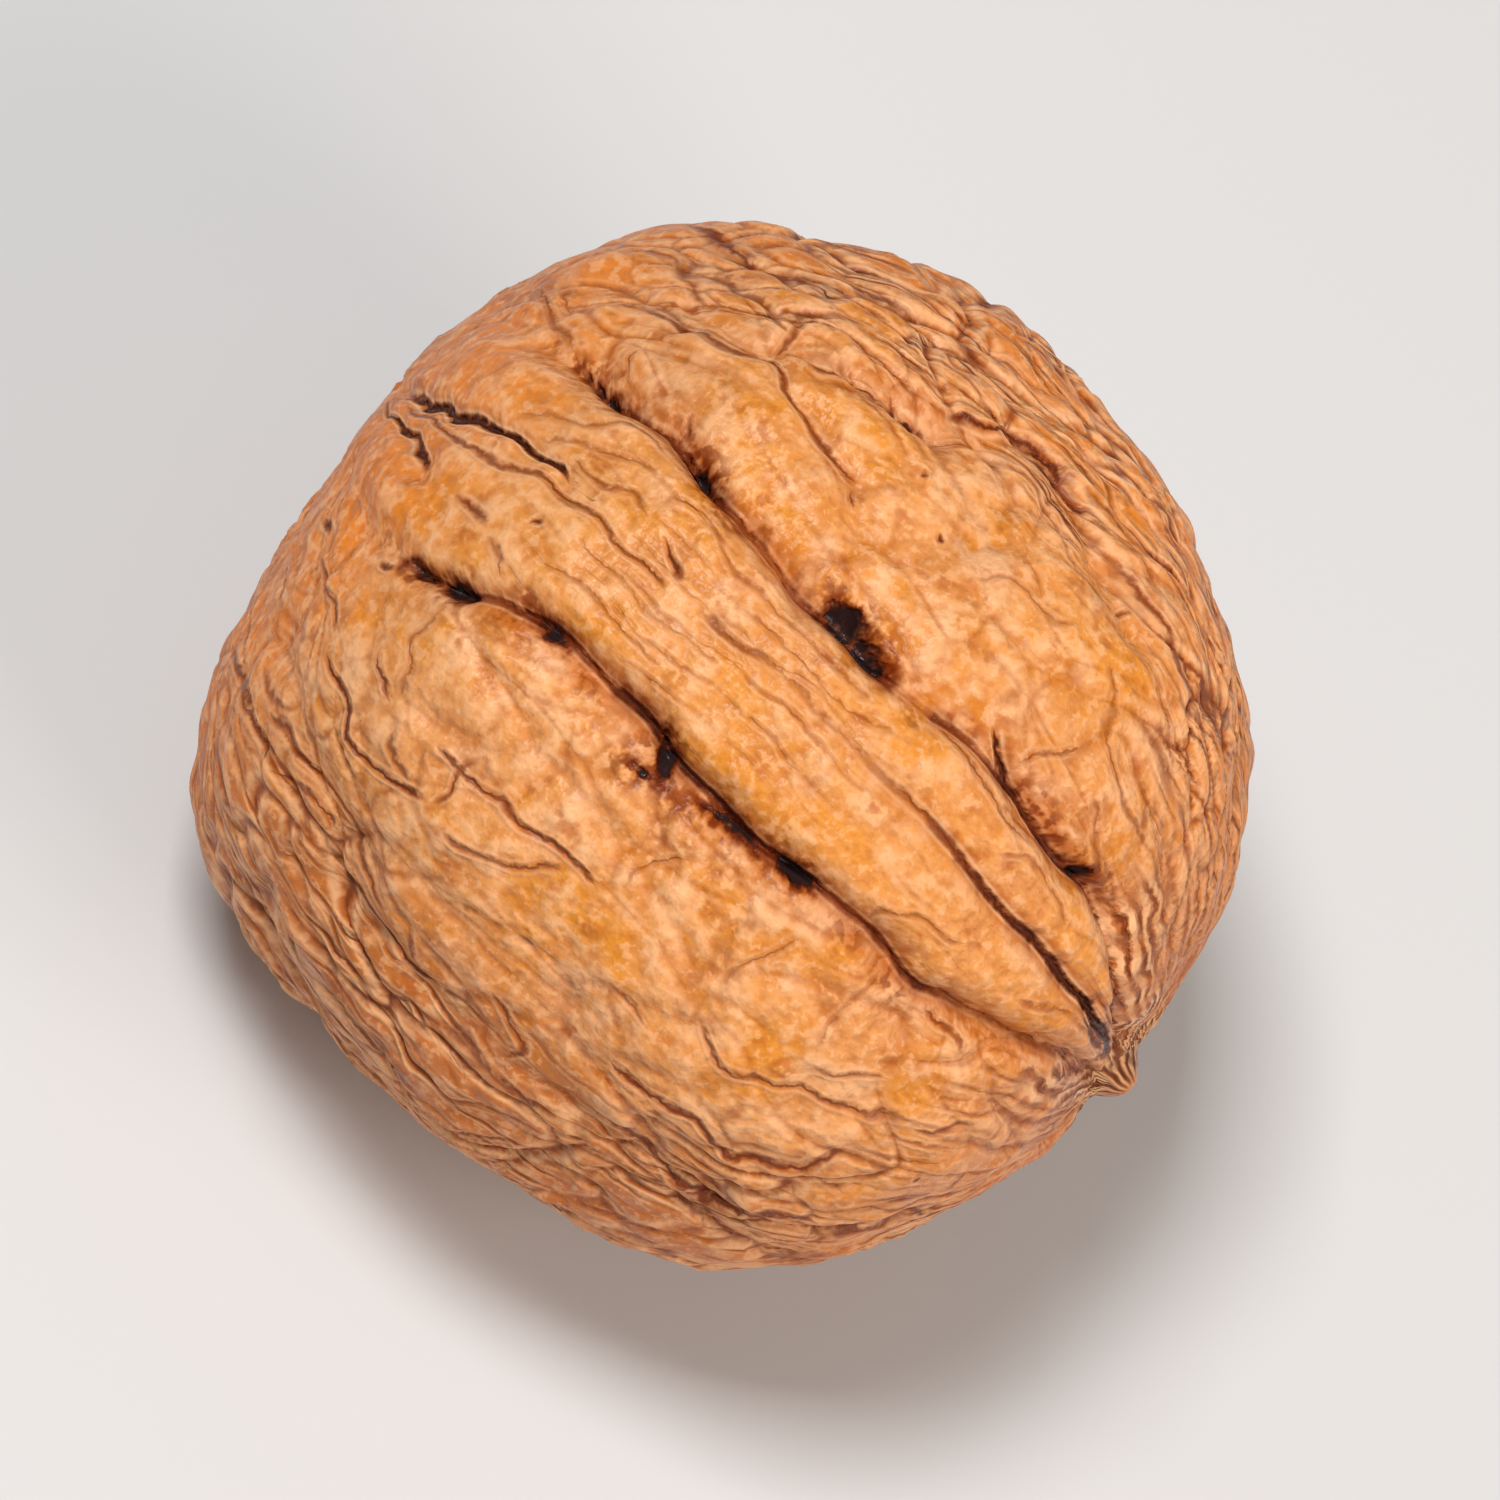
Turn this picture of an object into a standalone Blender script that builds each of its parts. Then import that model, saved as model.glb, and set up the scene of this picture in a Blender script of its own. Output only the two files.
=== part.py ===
"""A walnut in its shell, lying on its side on a small flat spot, tip towards +X.

The nut is one closed solid. It is shaped in its own axes, in millimetres: x runs from
the stem end to the tip, y across the two cheeks, and z out through the front of the seam
that joins the two halves. The last steps roll it on to its resting side and write it in
metres, with the floor at z = 0 and the origin under the middle of its bounding box.
"""

import math

import bmesh
import bpy
import numpy as np

MM = 0.001

# Body: a rounded form, a little fuller towards the stem end, which sags to one side.
TIP_REACH = 18.9
STEM_REACH = 16.0
CHEEK_HALF_WIDTH = 17.3
SEAM_HALF_DEPTH = 17.1
TIP_FULLNESS = 2.5
STEM_FULLNESS = 2.4
BODY_CENTRE = np.array([-2.0, -0.95, 0.0])
STEM_SAG = 0.7
STEM_SAG_SPAN = (2.0, 16.0)

# Tip: a blunt nub in a shallow collar, with rays that run out from it.
TIP_POINT = np.array([16.8, -0.3, 0.0])
TIP_HEIGHT = 0.95
TIP_RADIUS = 0.95
TIP_BLUNTNESS = 3.0
TIP_COLLAR_DEPTH = 0.15
TIP_COLLAR_RADIUS = 2.8
RAY_COUNT = 28
RAY_DEPTH = 0.22
RAY_SPAN = (1.8, 8.5)
RAY_WAVER = (0.8, 4.0, 61)
RAY_LEVEL = 0.6

# Seam band on its front side: (x, y) along its two grooves and the seam line between them.
UPPER_GROOVE = (
    (-17.8, 3.6), (-15.5, 4.5), (-13.3, 4.95), (-12.3, 5.05), (-11.0, 5.4), (-9.6, 5.4), (-8.6, 5.25),
    (-7.3, 4.95), (-5.5, 4.85), (-4.0, 4.6), (-2.2, 4.4), (0.0, 4.25), (1.5, 4.3), (3.5, 4.5),
    (5.0, 4.5), (6.5, 4.7), (7.3, 4.4), (9.0, 4.0), (10.5, 3.7), (11.8, 3.9), (12.6, 3.8),
    (13.3, 3.4), (14.0, 2.95), (14.6, 2.3), (15.2, 1.8), (15.8, 1.3), (16.5, 0.85), (17.4, -0.2),
)
LOWER_GROOVE = (
    (-17.8, -3.4), (-15.5, -4.4), (-13.4, -4.4), (-12.0, -4.0), (-11.0, -3.5), (-10.3, -2.95),
    (-9.5, -2.85), (-8.5, -2.6), (-7.4, -2.45), (-6.0, -2.5), (-5.0, -2.6), (-3.3, -2.5),
    (-2.7, -2.75), (-2.0, -2.95), (0.0, -3.1), (1.0, -3.1), (3.0, -2.85), (4.0, -2.72), (5.0, -2.75),
    (6.0, -2.65), (8.0, -2.75), (9.8, -2.88), (10.4, -2.6), (12.0, -2.15), (13.0, -1.8), (15.0, -1.1),
    (17.4, -0.5),
)
SEAM_LINE = (
    (-17.8, 0.0), (-13.3, 0.7), (-10.0, 1.1), (-5.0, 1.45), (-3.5, 1.5), (-1.5, 1.7), (2.0, 1.65),
    (5.0, 1.5), (7.0, 1.4), (9.0, 1.1), (11.5, 1.05), (12.5, 0.9), (14.2, 0.65), (15.0, 0.5),
    (16.0, 0.2), (17.4, -0.2),
)
# The same three lines on the far side.
UPPER_BACK = (
    (-17.8, 3.2), (-12.0, 4.3), (-5.0, 4.9), (3.0, 4.6), (10.0, 3.7), (15.0, 1.6), (17.4, -0.2),
)
LOWER_BACK = (
    (-17.8, -3.0), (-12.0, -3.6), (-4.0, -4.2), (4.0, -3.7), (10.0, -3.2), (15.0, -1.6), (17.4, -0.5),
)
SEAM_BACK = ((-17.8, 0.0), (-8.0, 0.5), (0.0, 0.1), (8.0, 0.7), (17.4, -0.2))
# Each line wanders a little: height, wavelength, seed.
UPPER_WANDER = (0.12, 3.0, 41)
LOWER_WANDER = (0.12, 3.0, 42)
SEAM_WANDER = (0.08, 2.5, 43)
ROUNDING = (-0.6, -0.3, 0.0, 0.3, 0.6)

# Cross-section of the band: a low rise with rounded shoulders between two ragged grooves.
BAND_RISE = 0.35
BAND_SHOULDER = (-0.15, 1.3)
BAND_DEPTH_FADE = (0.6, 3.5)
BAND_TIP_FADE = (0.4, 2.2)
BAND_STEM_FADE = (-17.0, -9.5)
BAND_STEM_SHARE = 0.2
GROOVE_DEPTH = 0.6
GROOVE_WIDTH = 0.5
GROOVE_FLANK = 0.4
GROOVE_FLANK_WIDTH = 2.4
GROOVE_RAGGED = (0.75, 0.4, 5.0)
UPPER_RAGGED_SEED = 44
LOWER_RAGGED_SEED = 45
SEAM_DEPTH = 0.24
SEAM_WIDTH = 0.35
SEAM_FAINT = 0.25
SEAM_TIPWARD = (5.0, 13.0)

# Pits in the grooves: x, y, half length, half width, tilt in degrees, depth, on the front side.
PITS = (
    (-0.95, 4.95, 0.85, 0.5, 0.0, 0.55),
    (0.3, 4.6, 1.05, 0.34, -14.0, 0.6),
    (-8.05, 5.1, 0.8, 0.25, -15.0, 0.5),
    (-12.9, 4.95, 0.9, 0.2, 0.0, 0.3),
    (-11.6, -3.85, 0.6, 0.38, 20.0, 0.55),
    (-12.9, -4.2, 0.6, 0.17, 10.0, 0.3),
    (-8.1, -2.65, 0.65, 0.26, 0.0, 0.35),
    (-2.3, -3.15, 0.95, 0.28, -48.0, 0.4),
    (-2.6, -4.05, 0.35, 0.1, 0.0, 0.15),
    (1.1, -3.3, 0.95, 0.2, 5.0, 0.35),
    (3.55, -2.95, 0.85, 0.3, 5.0, 0.45),
    (11.1, 4.05, 0.4, 0.26, 0.0, 0.3),
)

# Furrows on the front side: points (x, y), then depth and width.
FURROWS = (
    (((-9.0, 10.3), (-7.2, 10.9), (-5.0, 11.7), (-3.2, 11.9)), 0.6, 0.5),
    (((-3.0, 12.2), (-1.6, 13.2), (0.0, 13.7), (2.0, 13.2), (4.5, 12.2), (6.5, 11.0)), 0.45, 0.55),
    (((-12.5, 9.0), (-9.2, 9.6), (-6.5, 9.2), (-4.0, 8.6)), 0.4, 0.4),
    (((-17.7, 0.0), (-16.0, 0.5), (-13.5, 1.5), (-11.6, 1.75), (-11.2, 1.35)), 0.4, 0.3),
    (((-17.1, -1.0), (-15.9, -1.1), (-15.2, -1.9)), 0.35, 0.3),
    (((5.2, 5.6), (6.4, 4.9)), 0.3, 0.3),
    (((-8.0, -14.3), (-3.0, -14.8), (3.0, -14.4), (9.0, -13.4)), 0.35, 0.7),
    (((-15.0, -9.5), (-11.0, -12.0), (-7.0, -12.8)), 0.3, 0.6),
)
FURROW_WAVER = ((0.18, 2.2, 51), (0.18, 2.2, 52))

# Smooth bulges on the front of a cheek: x, y, half length, half width, height.
BULGES = (
    (-7.5, 7.5, 4.2, 1.8, 0.3),
    (2.2, 10.5, 4.4, 2.4, 0.28),
    (-15.4, 2.5, 1.9, 1.4, 0.25),
    (-16.0, -3.2, 1.4, 1.5, 0.25),
)
BULGE_CALM = 0.55

# Long swells all over: height, wavelength, seed.
LUMPS = ((0.42, 15.0, 3), (0.2, 7.5, 4))
LUMPS_ON_BAND = 0.4

# Net of pillowed cells in two sizes, drawn out along the nut: cell size, depth.
NET = ((4.4, 0.3), (2.0, 0.16))
NET_DRAW_OUT = 2.3
NET_PINCH = 0.6
NET_WANDER = ((1.1, 9.0, 21), (0.45, 3.2, 22))
NET_STRENGTH = (0.75, 0.35, 11.0, 31)
NET_ON_BAND = 0.3
NET_ON_FRONT = 0.85
NET_FRONT_SPAN = (9.0, 14.0)
NET_AT_ENDS = 0.4
NET_END_SPAN = (11.0, 15.5)
NET_LEVEL = 0.7
PILLOW_SHARE = 0.16
CREASE_WIDTH = 0.24
CELL_STEP = 0.04
CELL_STEP_EDGE = 0.12

# How it rests.
ROLL = math.radians(30.0)
PITCH = math.radians(0.6)
FLAT_DEPTH = 0.3
FLAT_FADE = (math.radians(11.0), math.radians(22.0))

# Mesh sizes.
FINE_CUTS = 127
SOLID_TRIANGLES = 11400

SHELL_COLOUR = (0.52, 0.28, 0.11, 1.0)
SHELL_ROUGHNESS = 0.55


def ease(value, low, high):
    """0 below low, 1 above high, and a smooth step between them."""
    share = np.clip((value - low) / (high - low), 0.0, 1.0)
    return share * share * (3.0 - 2.0 * share)


def swell(points, height, wavelength, seed, waves=16):
    """A smooth random swell of about plus or minus height, made of crossing waves."""
    draw = np.random.default_rng(seed)
    heading = draw.normal(size=(waves, 3))
    heading /= np.linalg.norm(heading, axis=1)[:, None]
    rate = 2.0 * math.pi * heading / (wavelength * draw.uniform(0.7, 1.5, waves))[:, None]
    phase = draw.uniform(0.0, 2.0 * math.pi, waves)
    return height * np.sin(points @ rate.T + phase).sum(axis=1) / math.sqrt(2.0 * waves)


def ball(cuts):
    """A cube divided into an even grid, as a mesh, and the direction of each of its corners."""
    shell = bmesh.new()
    bmesh.ops.create_cube(shell, size=2.0)
    bmesh.ops.subdivide_edges(shell, edges=shell.edges[:], cuts=cuts, use_grid_fill=True)
    mesh = bpy.data.meshes.new("walnut")
    shell.to_mesh(mesh)
    shell.free()
    corners = np.empty(len(mesh.vertices) * 3)
    mesh.vertices.foreach_get("co", corners)
    corners = corners.reshape(-1, 3)
    square = corners**2
    one, other = square[:, [1, 2, 0]], square[:, [2, 0, 1]]
    return mesh, corners * np.sqrt(1.0 - one / 2.0 - other / 2.0 + one * other / 3.0)


def body(directions):
    """Points and outward normals of the smooth body, one for each direction from its middle."""
    x, y, z = directions.T
    reach = np.where(x > 0.0, TIP_REACH, STEM_REACH)
    fullness = np.where(x > 0.0, TIP_FULLNESS, STEM_FULLNESS)
    length = np.abs(x) / reach
    girth = np.hypot(y / CHEEK_HALF_WIDTH, z / SEAM_HALF_DEPTH)
    size = (length**fullness + girth**fullness) ** (-1.0 / fullness)
    slope = girth ** (fullness - 2.0)
    along = np.sign(x) * length ** (fullness - 1.0) / reach
    normals = np.stack((along, slope * y / CHEEK_HALF_WIDTH**2, slope * z / SEAM_HALF_DEPTH**2), axis=1)
    normals /= np.linalg.norm(normals, axis=1)[:, None]
    points = directions * size[:, None] + BODY_CENTRE
    points[:, 1] -= STEM_SAG * ease(-points[:, 0], *STEM_SAG_SPAN)
    return points, normals


def polar(points):
    """Distance from the line between stem and tip, angle round it, and angle down from the tip."""
    middle = TIP_POINT[1] * (points[:, 0] + STEM_REACH) / (TIP_REACH + STEM_REACH)
    across = points[:, 1] - middle
    off_axis = np.hypot(across, points[:, 2])
    return off_axis, np.arctan2(across, points[:, 2]), np.arctan2(off_axis, points[:, 0] - BODY_CENTRE[0])


def net_place(points):
    """Where each point lies in the net: drawn out along the nut and pinched towards its ends."""
    off_axis, turn, down = polar(points)
    ring = CHEEK_HALF_WIDTH * (off_axis / CHEEK_HALF_WIDTH) ** NET_PINCH
    place = np.stack(
        (CHEEK_HALF_WIDTH * down / NET_DRAW_OUT, ring * np.cos(turn), ring * np.sin(turn)), axis=1
    )
    for height, wavelength, seed in NET_WANDER:
        drift = [swell(place, height, wavelength, 3 * seed + axis) for axis in range(3)]
        place = place + np.stack(drift, axis=1)
    return place


def store_cells(group, last, place, name, feature, output, kind, size):
    """Adds the nodes that store one value of the cells on a mesh, and returns their last socket."""
    crazing = group.nodes.new("ShaderNodeTexVoronoi")
    crazing.feature = feature
    crazing.inputs["Scale"].default_value = 1.0 / size
    group.links.new(place, crazing.inputs["Vector"])
    store = group.nodes.new("GeometryNodeStoreNamedAttribute")
    store.data_type = kind
    store.inputs["Name"].default_value = name
    value = next(socket for socket in store.inputs if socket.name == "Value" and socket.enabled)
    group.links.new(last, store.inputs["Geometry"])
    group.links.new(crazing.outputs[output], value)
    return store.outputs["Geometry"]


def cells(places, size):
    """For points in the net: distance to the nearest cell border, and a random value of the cell."""
    mesh = bpy.data.meshes.new("net")
    mesh.from_pydata(places, [], [])
    carrier = bpy.data.objects.new("net", mesh)
    bpy.context.scene.collection.objects.link(carrier)
    group = bpy.data.node_groups.new("net", "GeometryNodeTree")
    for way in ("INPUT", "OUTPUT"):
        group.interface.new_socket("Geometry", in_out=way, socket_type="NodeSocketGeometry")
    place = group.nodes.new("GeometryNodeInputPosition").outputs[0]
    last = group.nodes.new("NodeGroupInput").outputs[0]
    last = store_cells(group, last, place, "border", "DISTANCE_TO_EDGE", "Distance", "FLOAT", size)
    last = store_cells(group, last, place, "cell", "F1", "Color", "FLOAT_VECTOR", size)
    group.links.new(last, group.nodes.new("NodeGroupOutput").inputs[0])
    carrier.modifiers.new("net", "NODES").node_group = group
    made = carrier.evaluated_get(bpy.context.evaluated_depsgraph_get()).data
    border = np.empty(len(places))
    made.attributes["border"].data.foreach_get("value", border)
    value = np.empty(len(places) * 3)
    made.attributes["cell"].data.foreach_get("vector", value)
    bpy.data.objects.remove(carrier)
    bpy.data.meshes.remove(mesh)
    bpy.data.node_groups.remove(group)
    return border * size, value.reshape(-1, 3)[:, 0]


def net_relief(points):
    """Height of the net: pillows of two sizes between creases, a few of them standing proud."""
    place = net_place(points)
    base, change, wavelength, seed = NET_STRENGTH
    strength = base + swell(points, change, wavelength, seed)
    strength *= 1.0 - (1.0 - NET_ON_FRONT) * ease(points[:, 2], *NET_FRONT_SPAN)
    strength *= 1.0 - (1.0 - NET_AT_ENDS) * ease(np.abs(points[:, 0]), *NET_END_SPAN)
    height = np.zeros(len(points))
    for size, depth in NET:
        border, value = cells(place, size)
        soft, sharp = np.exp(-border / (PILLOW_SHARE * size)), np.exp(-border / CREASE_WIDTH)
        height += depth * strength * (1.0 - (soft + sharp) / 2.0 - NET_LEVEL)
        height += CELL_STEP * size * (value - 0.5) * ease(border, 0.0, CELL_STEP_EDGE * size)
    return height


def line_across(points, front_line, back_line, wander):
    """The y of a line round the nut beside each point: one set of (x, y) in front, one behind."""
    x, _, z = points.T
    sides = []
    for line in (front_line, back_line):
        xs, ys = zip(*line)
        sides.append(sum(np.interp(x + shift, xs, ys) for shift in ROUNDING) / len(ROUNDING))
    return np.where(z > 0.0, *sides) + swell(points, *wander)


def band_relief(points):
    """Height of the raised seam band, its two grooves and the seam line, and where the band lies."""
    x, y, z = points.T
    upper = line_across(points, UPPER_GROOVE, UPPER_BACK, UPPER_WANDER)
    lower = line_across(points, LOWER_GROOVE, LOWER_BACK, LOWER_WANDER)
    seam = line_across(points, SEAM_LINE, SEAM_BACK, SEAM_WANDER)
    here = ease(np.abs(z), *BAND_DEPTH_FADE) * ease(polar(points)[0], *BAND_TIP_FADE)
    band = ease(np.minimum(upper - y, y - lower), *BAND_SHOULDER)
    fade = BAND_STEM_SHARE + (1.0 - BAND_STEM_SHARE) * ease(x, *BAND_STEM_FADE)
    base, change, wavelength = GROOVE_RAGGED
    height = BAND_RISE * fade * band
    for edge, seed in ((upper, UPPER_RAGGED_SEED), (lower, LOWER_RAGGED_SEED)):
        gap = np.abs(y - edge)
        ragged = base + swell(points, change, wavelength, seed)
        height -= GROOVE_DEPTH * ragged * fade * np.exp(-((gap / GROOVE_WIDTH) ** 1.4))
        height -= GROOVE_FLANK * fade * (1.0 - band) * np.exp(-gap / GROOVE_FLANK_WIDTH)
    deeper = SEAM_FAINT + (1.0 - SEAM_FAINT) * ease(x, *SEAM_TIPWARD)
    height -= SEAM_DEPTH * deeper * np.exp(-((np.abs(y - seam) / SEAM_WIDTH) ** 1.5))
    return height * here, band * here


def path_gap(points, line):
    """Distance of each point to a line of (x, y) points laid on the front of the nut."""
    gap = np.full(len(points), 1e3)
    flat = points[:, :2] + np.stack([swell(points, *waver) for waver in FURROW_WAVER], axis=1)
    for start, end in zip(line, line[1:]):
        start, run = np.array(start), np.subtract(end, start)
        share = np.clip((flat - start) @ run / (run @ run), 0.0, 1.0)
        gap = np.minimum(gap, np.linalg.norm(flat - start - share[:, None] * run, axis=1))
    return np.where(points[:, 2] > 0.0, gap, 1e3)


def marks_relief(points):
    """Height of the pits and furrows."""
    x, y, z = points.T
    height = np.zeros(len(points))
    for at_x, at_y, half_length, half_width, tilt, depth in PITS:
        cos, sin = math.cos(math.radians(tilt)), math.sin(math.radians(tilt))
        along, across = (x - at_x) * cos + (y - at_y) * sin, (y - at_y) * cos - (x - at_x) * sin
        away = np.hypot(along / half_length, across / half_width)
        height -= np.where(z > 0.0, depth * np.exp(-(away**2.5)), 0.0)
    for line, depth, width in FURROWS:
        height -= depth * np.exp(-((path_gap(points, line) / width) ** 1.5))
    return height


def bulge_relief(points):
    """Height of the smooth bulges, and how far they calm the net."""
    x, y, z = points.T
    height = np.zeros(len(points))
    calm = np.zeros(len(points))
    for at_x, at_y, half_length, half_width, rise in BULGES:
        away = np.hypot((x - at_x) / half_length, (y - at_y) / half_width)
        spread = np.where(z > 0.0, np.exp(-(away**2)), 0.0)
        height += rise * spread
        calm = np.maximum(calm, spread)
    return height, BULGE_CALM * calm


def tip_relief(points):
    """Height of the rays that run out from the tip."""
    off_axis, turn, _ = polar(points)
    near, far = RAY_SPAN
    reach = ease(off_axis, 0.5 * near, near) * (1.0 - ease(off_axis, near, far)) * (points[:, 0] > 0.0)
    wave = np.sin(0.5 * RAY_COUNT * turn + swell(points, *RAY_WAVER))
    return RAY_DEPTH * reach * (np.abs(wave) - RAY_LEVEL)


def relief(points):
    """Height of all that stands out of the smooth body or is sunk into it."""
    band_height, band = band_relief(points)
    bulge_height, calm = bulge_relief(points)
    net = net_relief(points) * (1.0 - (1.0 - NET_ON_BAND) * band) * (1.0 - calm)
    lumps = sum(swell(points, *lump) for lump in LUMPS) * (1.0 - (1.0 - LUMPS_ON_BAND) * band)
    return band_height + bulge_height + net + lumps + marks_relief(points) + tip_relief(points)


def shell_points(directions):
    """The shell in the nut's own axes, smooth where it rests."""
    points, normals = body(directions)
    down = np.array([0.0, -math.sin(ROLL), -math.cos(ROLL)])
    off_rest = np.arccos(np.clip(normals @ down, -1.0, 1.0))
    raised = points + normals * (relief(points) * ease(off_rest, *FLAT_FADE))[:, None]
    off_tip = np.hypot(raised[:, 1] - TIP_POINT[1], raised[:, 2] - TIP_POINT[2])
    nub = TIP_HEIGHT * np.exp(-((off_tip / TIP_RADIUS) ** TIP_BLUNTNESS))
    collar = TIP_COLLAR_DEPTH * np.exp(-((off_tip / TIP_COLLAR_RADIUS) ** 2))
    raised[:, 0] += (nub - collar) * (points[:, 0] > 0.0)
    return raised


def laid_down(points):
    """The nut rolled on to its resting side, over the origin, its lowest part below the floor."""
    x, y, z = points.T
    y, z = y * math.cos(ROLL) - z * math.sin(ROLL), y * math.sin(ROLL) + z * math.cos(ROLL)
    x, z = x * math.cos(PITCH) + z * math.sin(PITCH), z * math.cos(PITCH) - x * math.sin(PITCH)
    turned = np.stack((x, y, z), axis=1)
    low, high = turned.min(axis=0), turned.max(axis=0)
    return turned - np.array([(low[0] + high[0]) / 2.0, (low[1] + high[1]) / 2.0, low[2] + FLAT_DEPTH])


def thinned(mesh):
    """The same shell in far fewer triangles, which stay closest together at its creases."""
    shell = bpy.data.objects.new("walnut", mesh)
    bpy.context.scene.collection.objects.link(shell)
    fewer = shell.modifiers.new("fewer triangles", "DECIMATE")
    fewer.ratio = SOLID_TRIANGLES / (2.0 * len(mesh.polygons))
    fewer.use_collapse_triangulate = True
    shell.data = bpy.data.meshes.new_from_object(shell.evaluated_get(bpy.context.evaluated_depsgraph_get()))
    shell.modifiers.clear()
    return shell


def cut_flat(mesh):
    """Cuts the shell off level at the floor and closes it with one flat face."""
    shell = bmesh.new()
    shell.from_mesh(mesh)
    whole = shell.verts[:] + shell.edges[:] + shell.faces[:]
    cut = bmesh.ops.bisect_plane(shell, geom=whole, dist=1e-7, plane_no=(0.0, 0.0, 1.0), clear_inner=True)
    rim = [part for part in cut["geom_cut"] if isinstance(part, bmesh.types.BMEdge)]
    bmesh.ops.contextual_create(shell, geom=rim)
    bmesh.ops.recalc_face_normals(shell, faces=shell.faces[:])
    shell.to_mesh(mesh)
    shell.free()


def shell_material():
    """Plain tan shell."""
    material = bpy.data.materials.new("shell")
    material.use_nodes = True
    surface = material.node_tree.nodes["Principled BSDF"]
    surface.inputs["Base Color"].default_value = SHELL_COLOUR
    surface.inputs["Roughness"].default_value = SHELL_ROUGHNESS
    surface.inputs["Metallic"].default_value = 0.0
    return material


def build():
    """Makes the walnut."""
    for old in list(bpy.data.objects):
        bpy.data.objects.remove(old)
    mesh, directions = ball(FINE_CUTS)
    placed = laid_down(shell_points(directions)) * MM
    mesh.vertices.foreach_set("co", placed.ravel())
    mesh.update()
    walnut = thinned(mesh)
    cut_flat(walnut.data)
    walnut.data.shade_smooth()
    walnut.data.materials.append(shell_material())


build()
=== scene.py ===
"""The look of a whole walnut: its wrinkled relief, its mottled shell and a plain studio round it.

The nut is shaped in its own axes, in millimetres: x runs from the stem end to the tip, y across
the two cheeks, and z out through the front of the seam that joins the two halves. It is then
rolled on to its resting side and written in metres, in the frame's axes.
"""

import functools
import math

import bpy
import numpy as np
from mathutils import Matrix, Vector


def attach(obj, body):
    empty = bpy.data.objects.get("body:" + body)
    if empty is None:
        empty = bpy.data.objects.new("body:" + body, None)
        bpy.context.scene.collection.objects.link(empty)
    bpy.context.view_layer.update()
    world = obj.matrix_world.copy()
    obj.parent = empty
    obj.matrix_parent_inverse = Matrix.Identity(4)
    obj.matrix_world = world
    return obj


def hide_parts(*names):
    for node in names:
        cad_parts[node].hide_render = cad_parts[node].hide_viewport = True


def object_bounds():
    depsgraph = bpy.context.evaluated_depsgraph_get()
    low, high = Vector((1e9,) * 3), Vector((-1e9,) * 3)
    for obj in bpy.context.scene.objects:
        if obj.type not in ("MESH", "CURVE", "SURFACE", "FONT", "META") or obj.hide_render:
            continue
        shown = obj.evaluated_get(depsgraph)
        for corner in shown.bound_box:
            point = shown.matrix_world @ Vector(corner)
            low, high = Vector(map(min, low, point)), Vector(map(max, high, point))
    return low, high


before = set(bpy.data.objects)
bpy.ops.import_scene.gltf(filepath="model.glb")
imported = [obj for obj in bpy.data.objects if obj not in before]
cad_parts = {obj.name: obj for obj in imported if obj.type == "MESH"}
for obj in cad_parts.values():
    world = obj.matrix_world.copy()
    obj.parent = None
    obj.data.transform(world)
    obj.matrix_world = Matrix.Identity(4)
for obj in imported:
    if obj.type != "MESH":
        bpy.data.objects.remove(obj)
cad_low, cad_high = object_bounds()

bl_info = {
    "name": "Walnut",
    "version": (1, 0, 0),
    "blender": (4, 5, 0),
    "location": "3D View > Sidebar > Walnut",
    "description": "A whole walnut in its shell, with a plain studio round it",
    "category": "Object",
}

MM = 0.001

# Random swells: how many waves cross, and how their lengths spread. Roughness of cloudy values.
SWELL_WAVES = 16
SWELL_SPREAD = (0.7, 1.5)
CLOUD_ROUGHNESS = 0.62
# Distances in millimetres of what isn't there, and of what isn't near.
FAR_AWAY = 1000.0
NONE_NEAR = 9.0
# Points along one stretch of a line.
LINE_STEPS = 7

# Body: a rounded form, a little fuller towards the stem end, which sags to one side.
TIP_REACH = 18.9
STEM_REACH = 16.0
CHEEK_HALF_WIDTH = 17.3
SEAM_HALF_DEPTH = 17.1
TIP_FULLNESS = 2.5
STEM_FULLNESS = 2.4
BODY_CENTRE = np.array([-2.0, -0.95, 0.0])
STEM_SAG = 0.7
STEM_SAG_SPAN = (2.0, 16.0)

# Tip: a blunt nub in a shallow collar, with rays that run out from it.
TIP_POINT = np.array([16.8, -0.3, 0.0])
TIP_HEIGHT = 0.95
TIP_RADIUS = 0.95
TIP_BLUNTNESS = 3.0
TIP_COLLAR_DEPTH = 0.15
TIP_COLLAR_RADIUS = 2.8
RAY_COUNT = 28
RAY_DEPTH = 0.22
RAY_SPAN = (1.8, 8.5)
RAY_WAVER = (0.8, 4.0, 61)
RAY_LEVEL = 0.6

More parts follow.
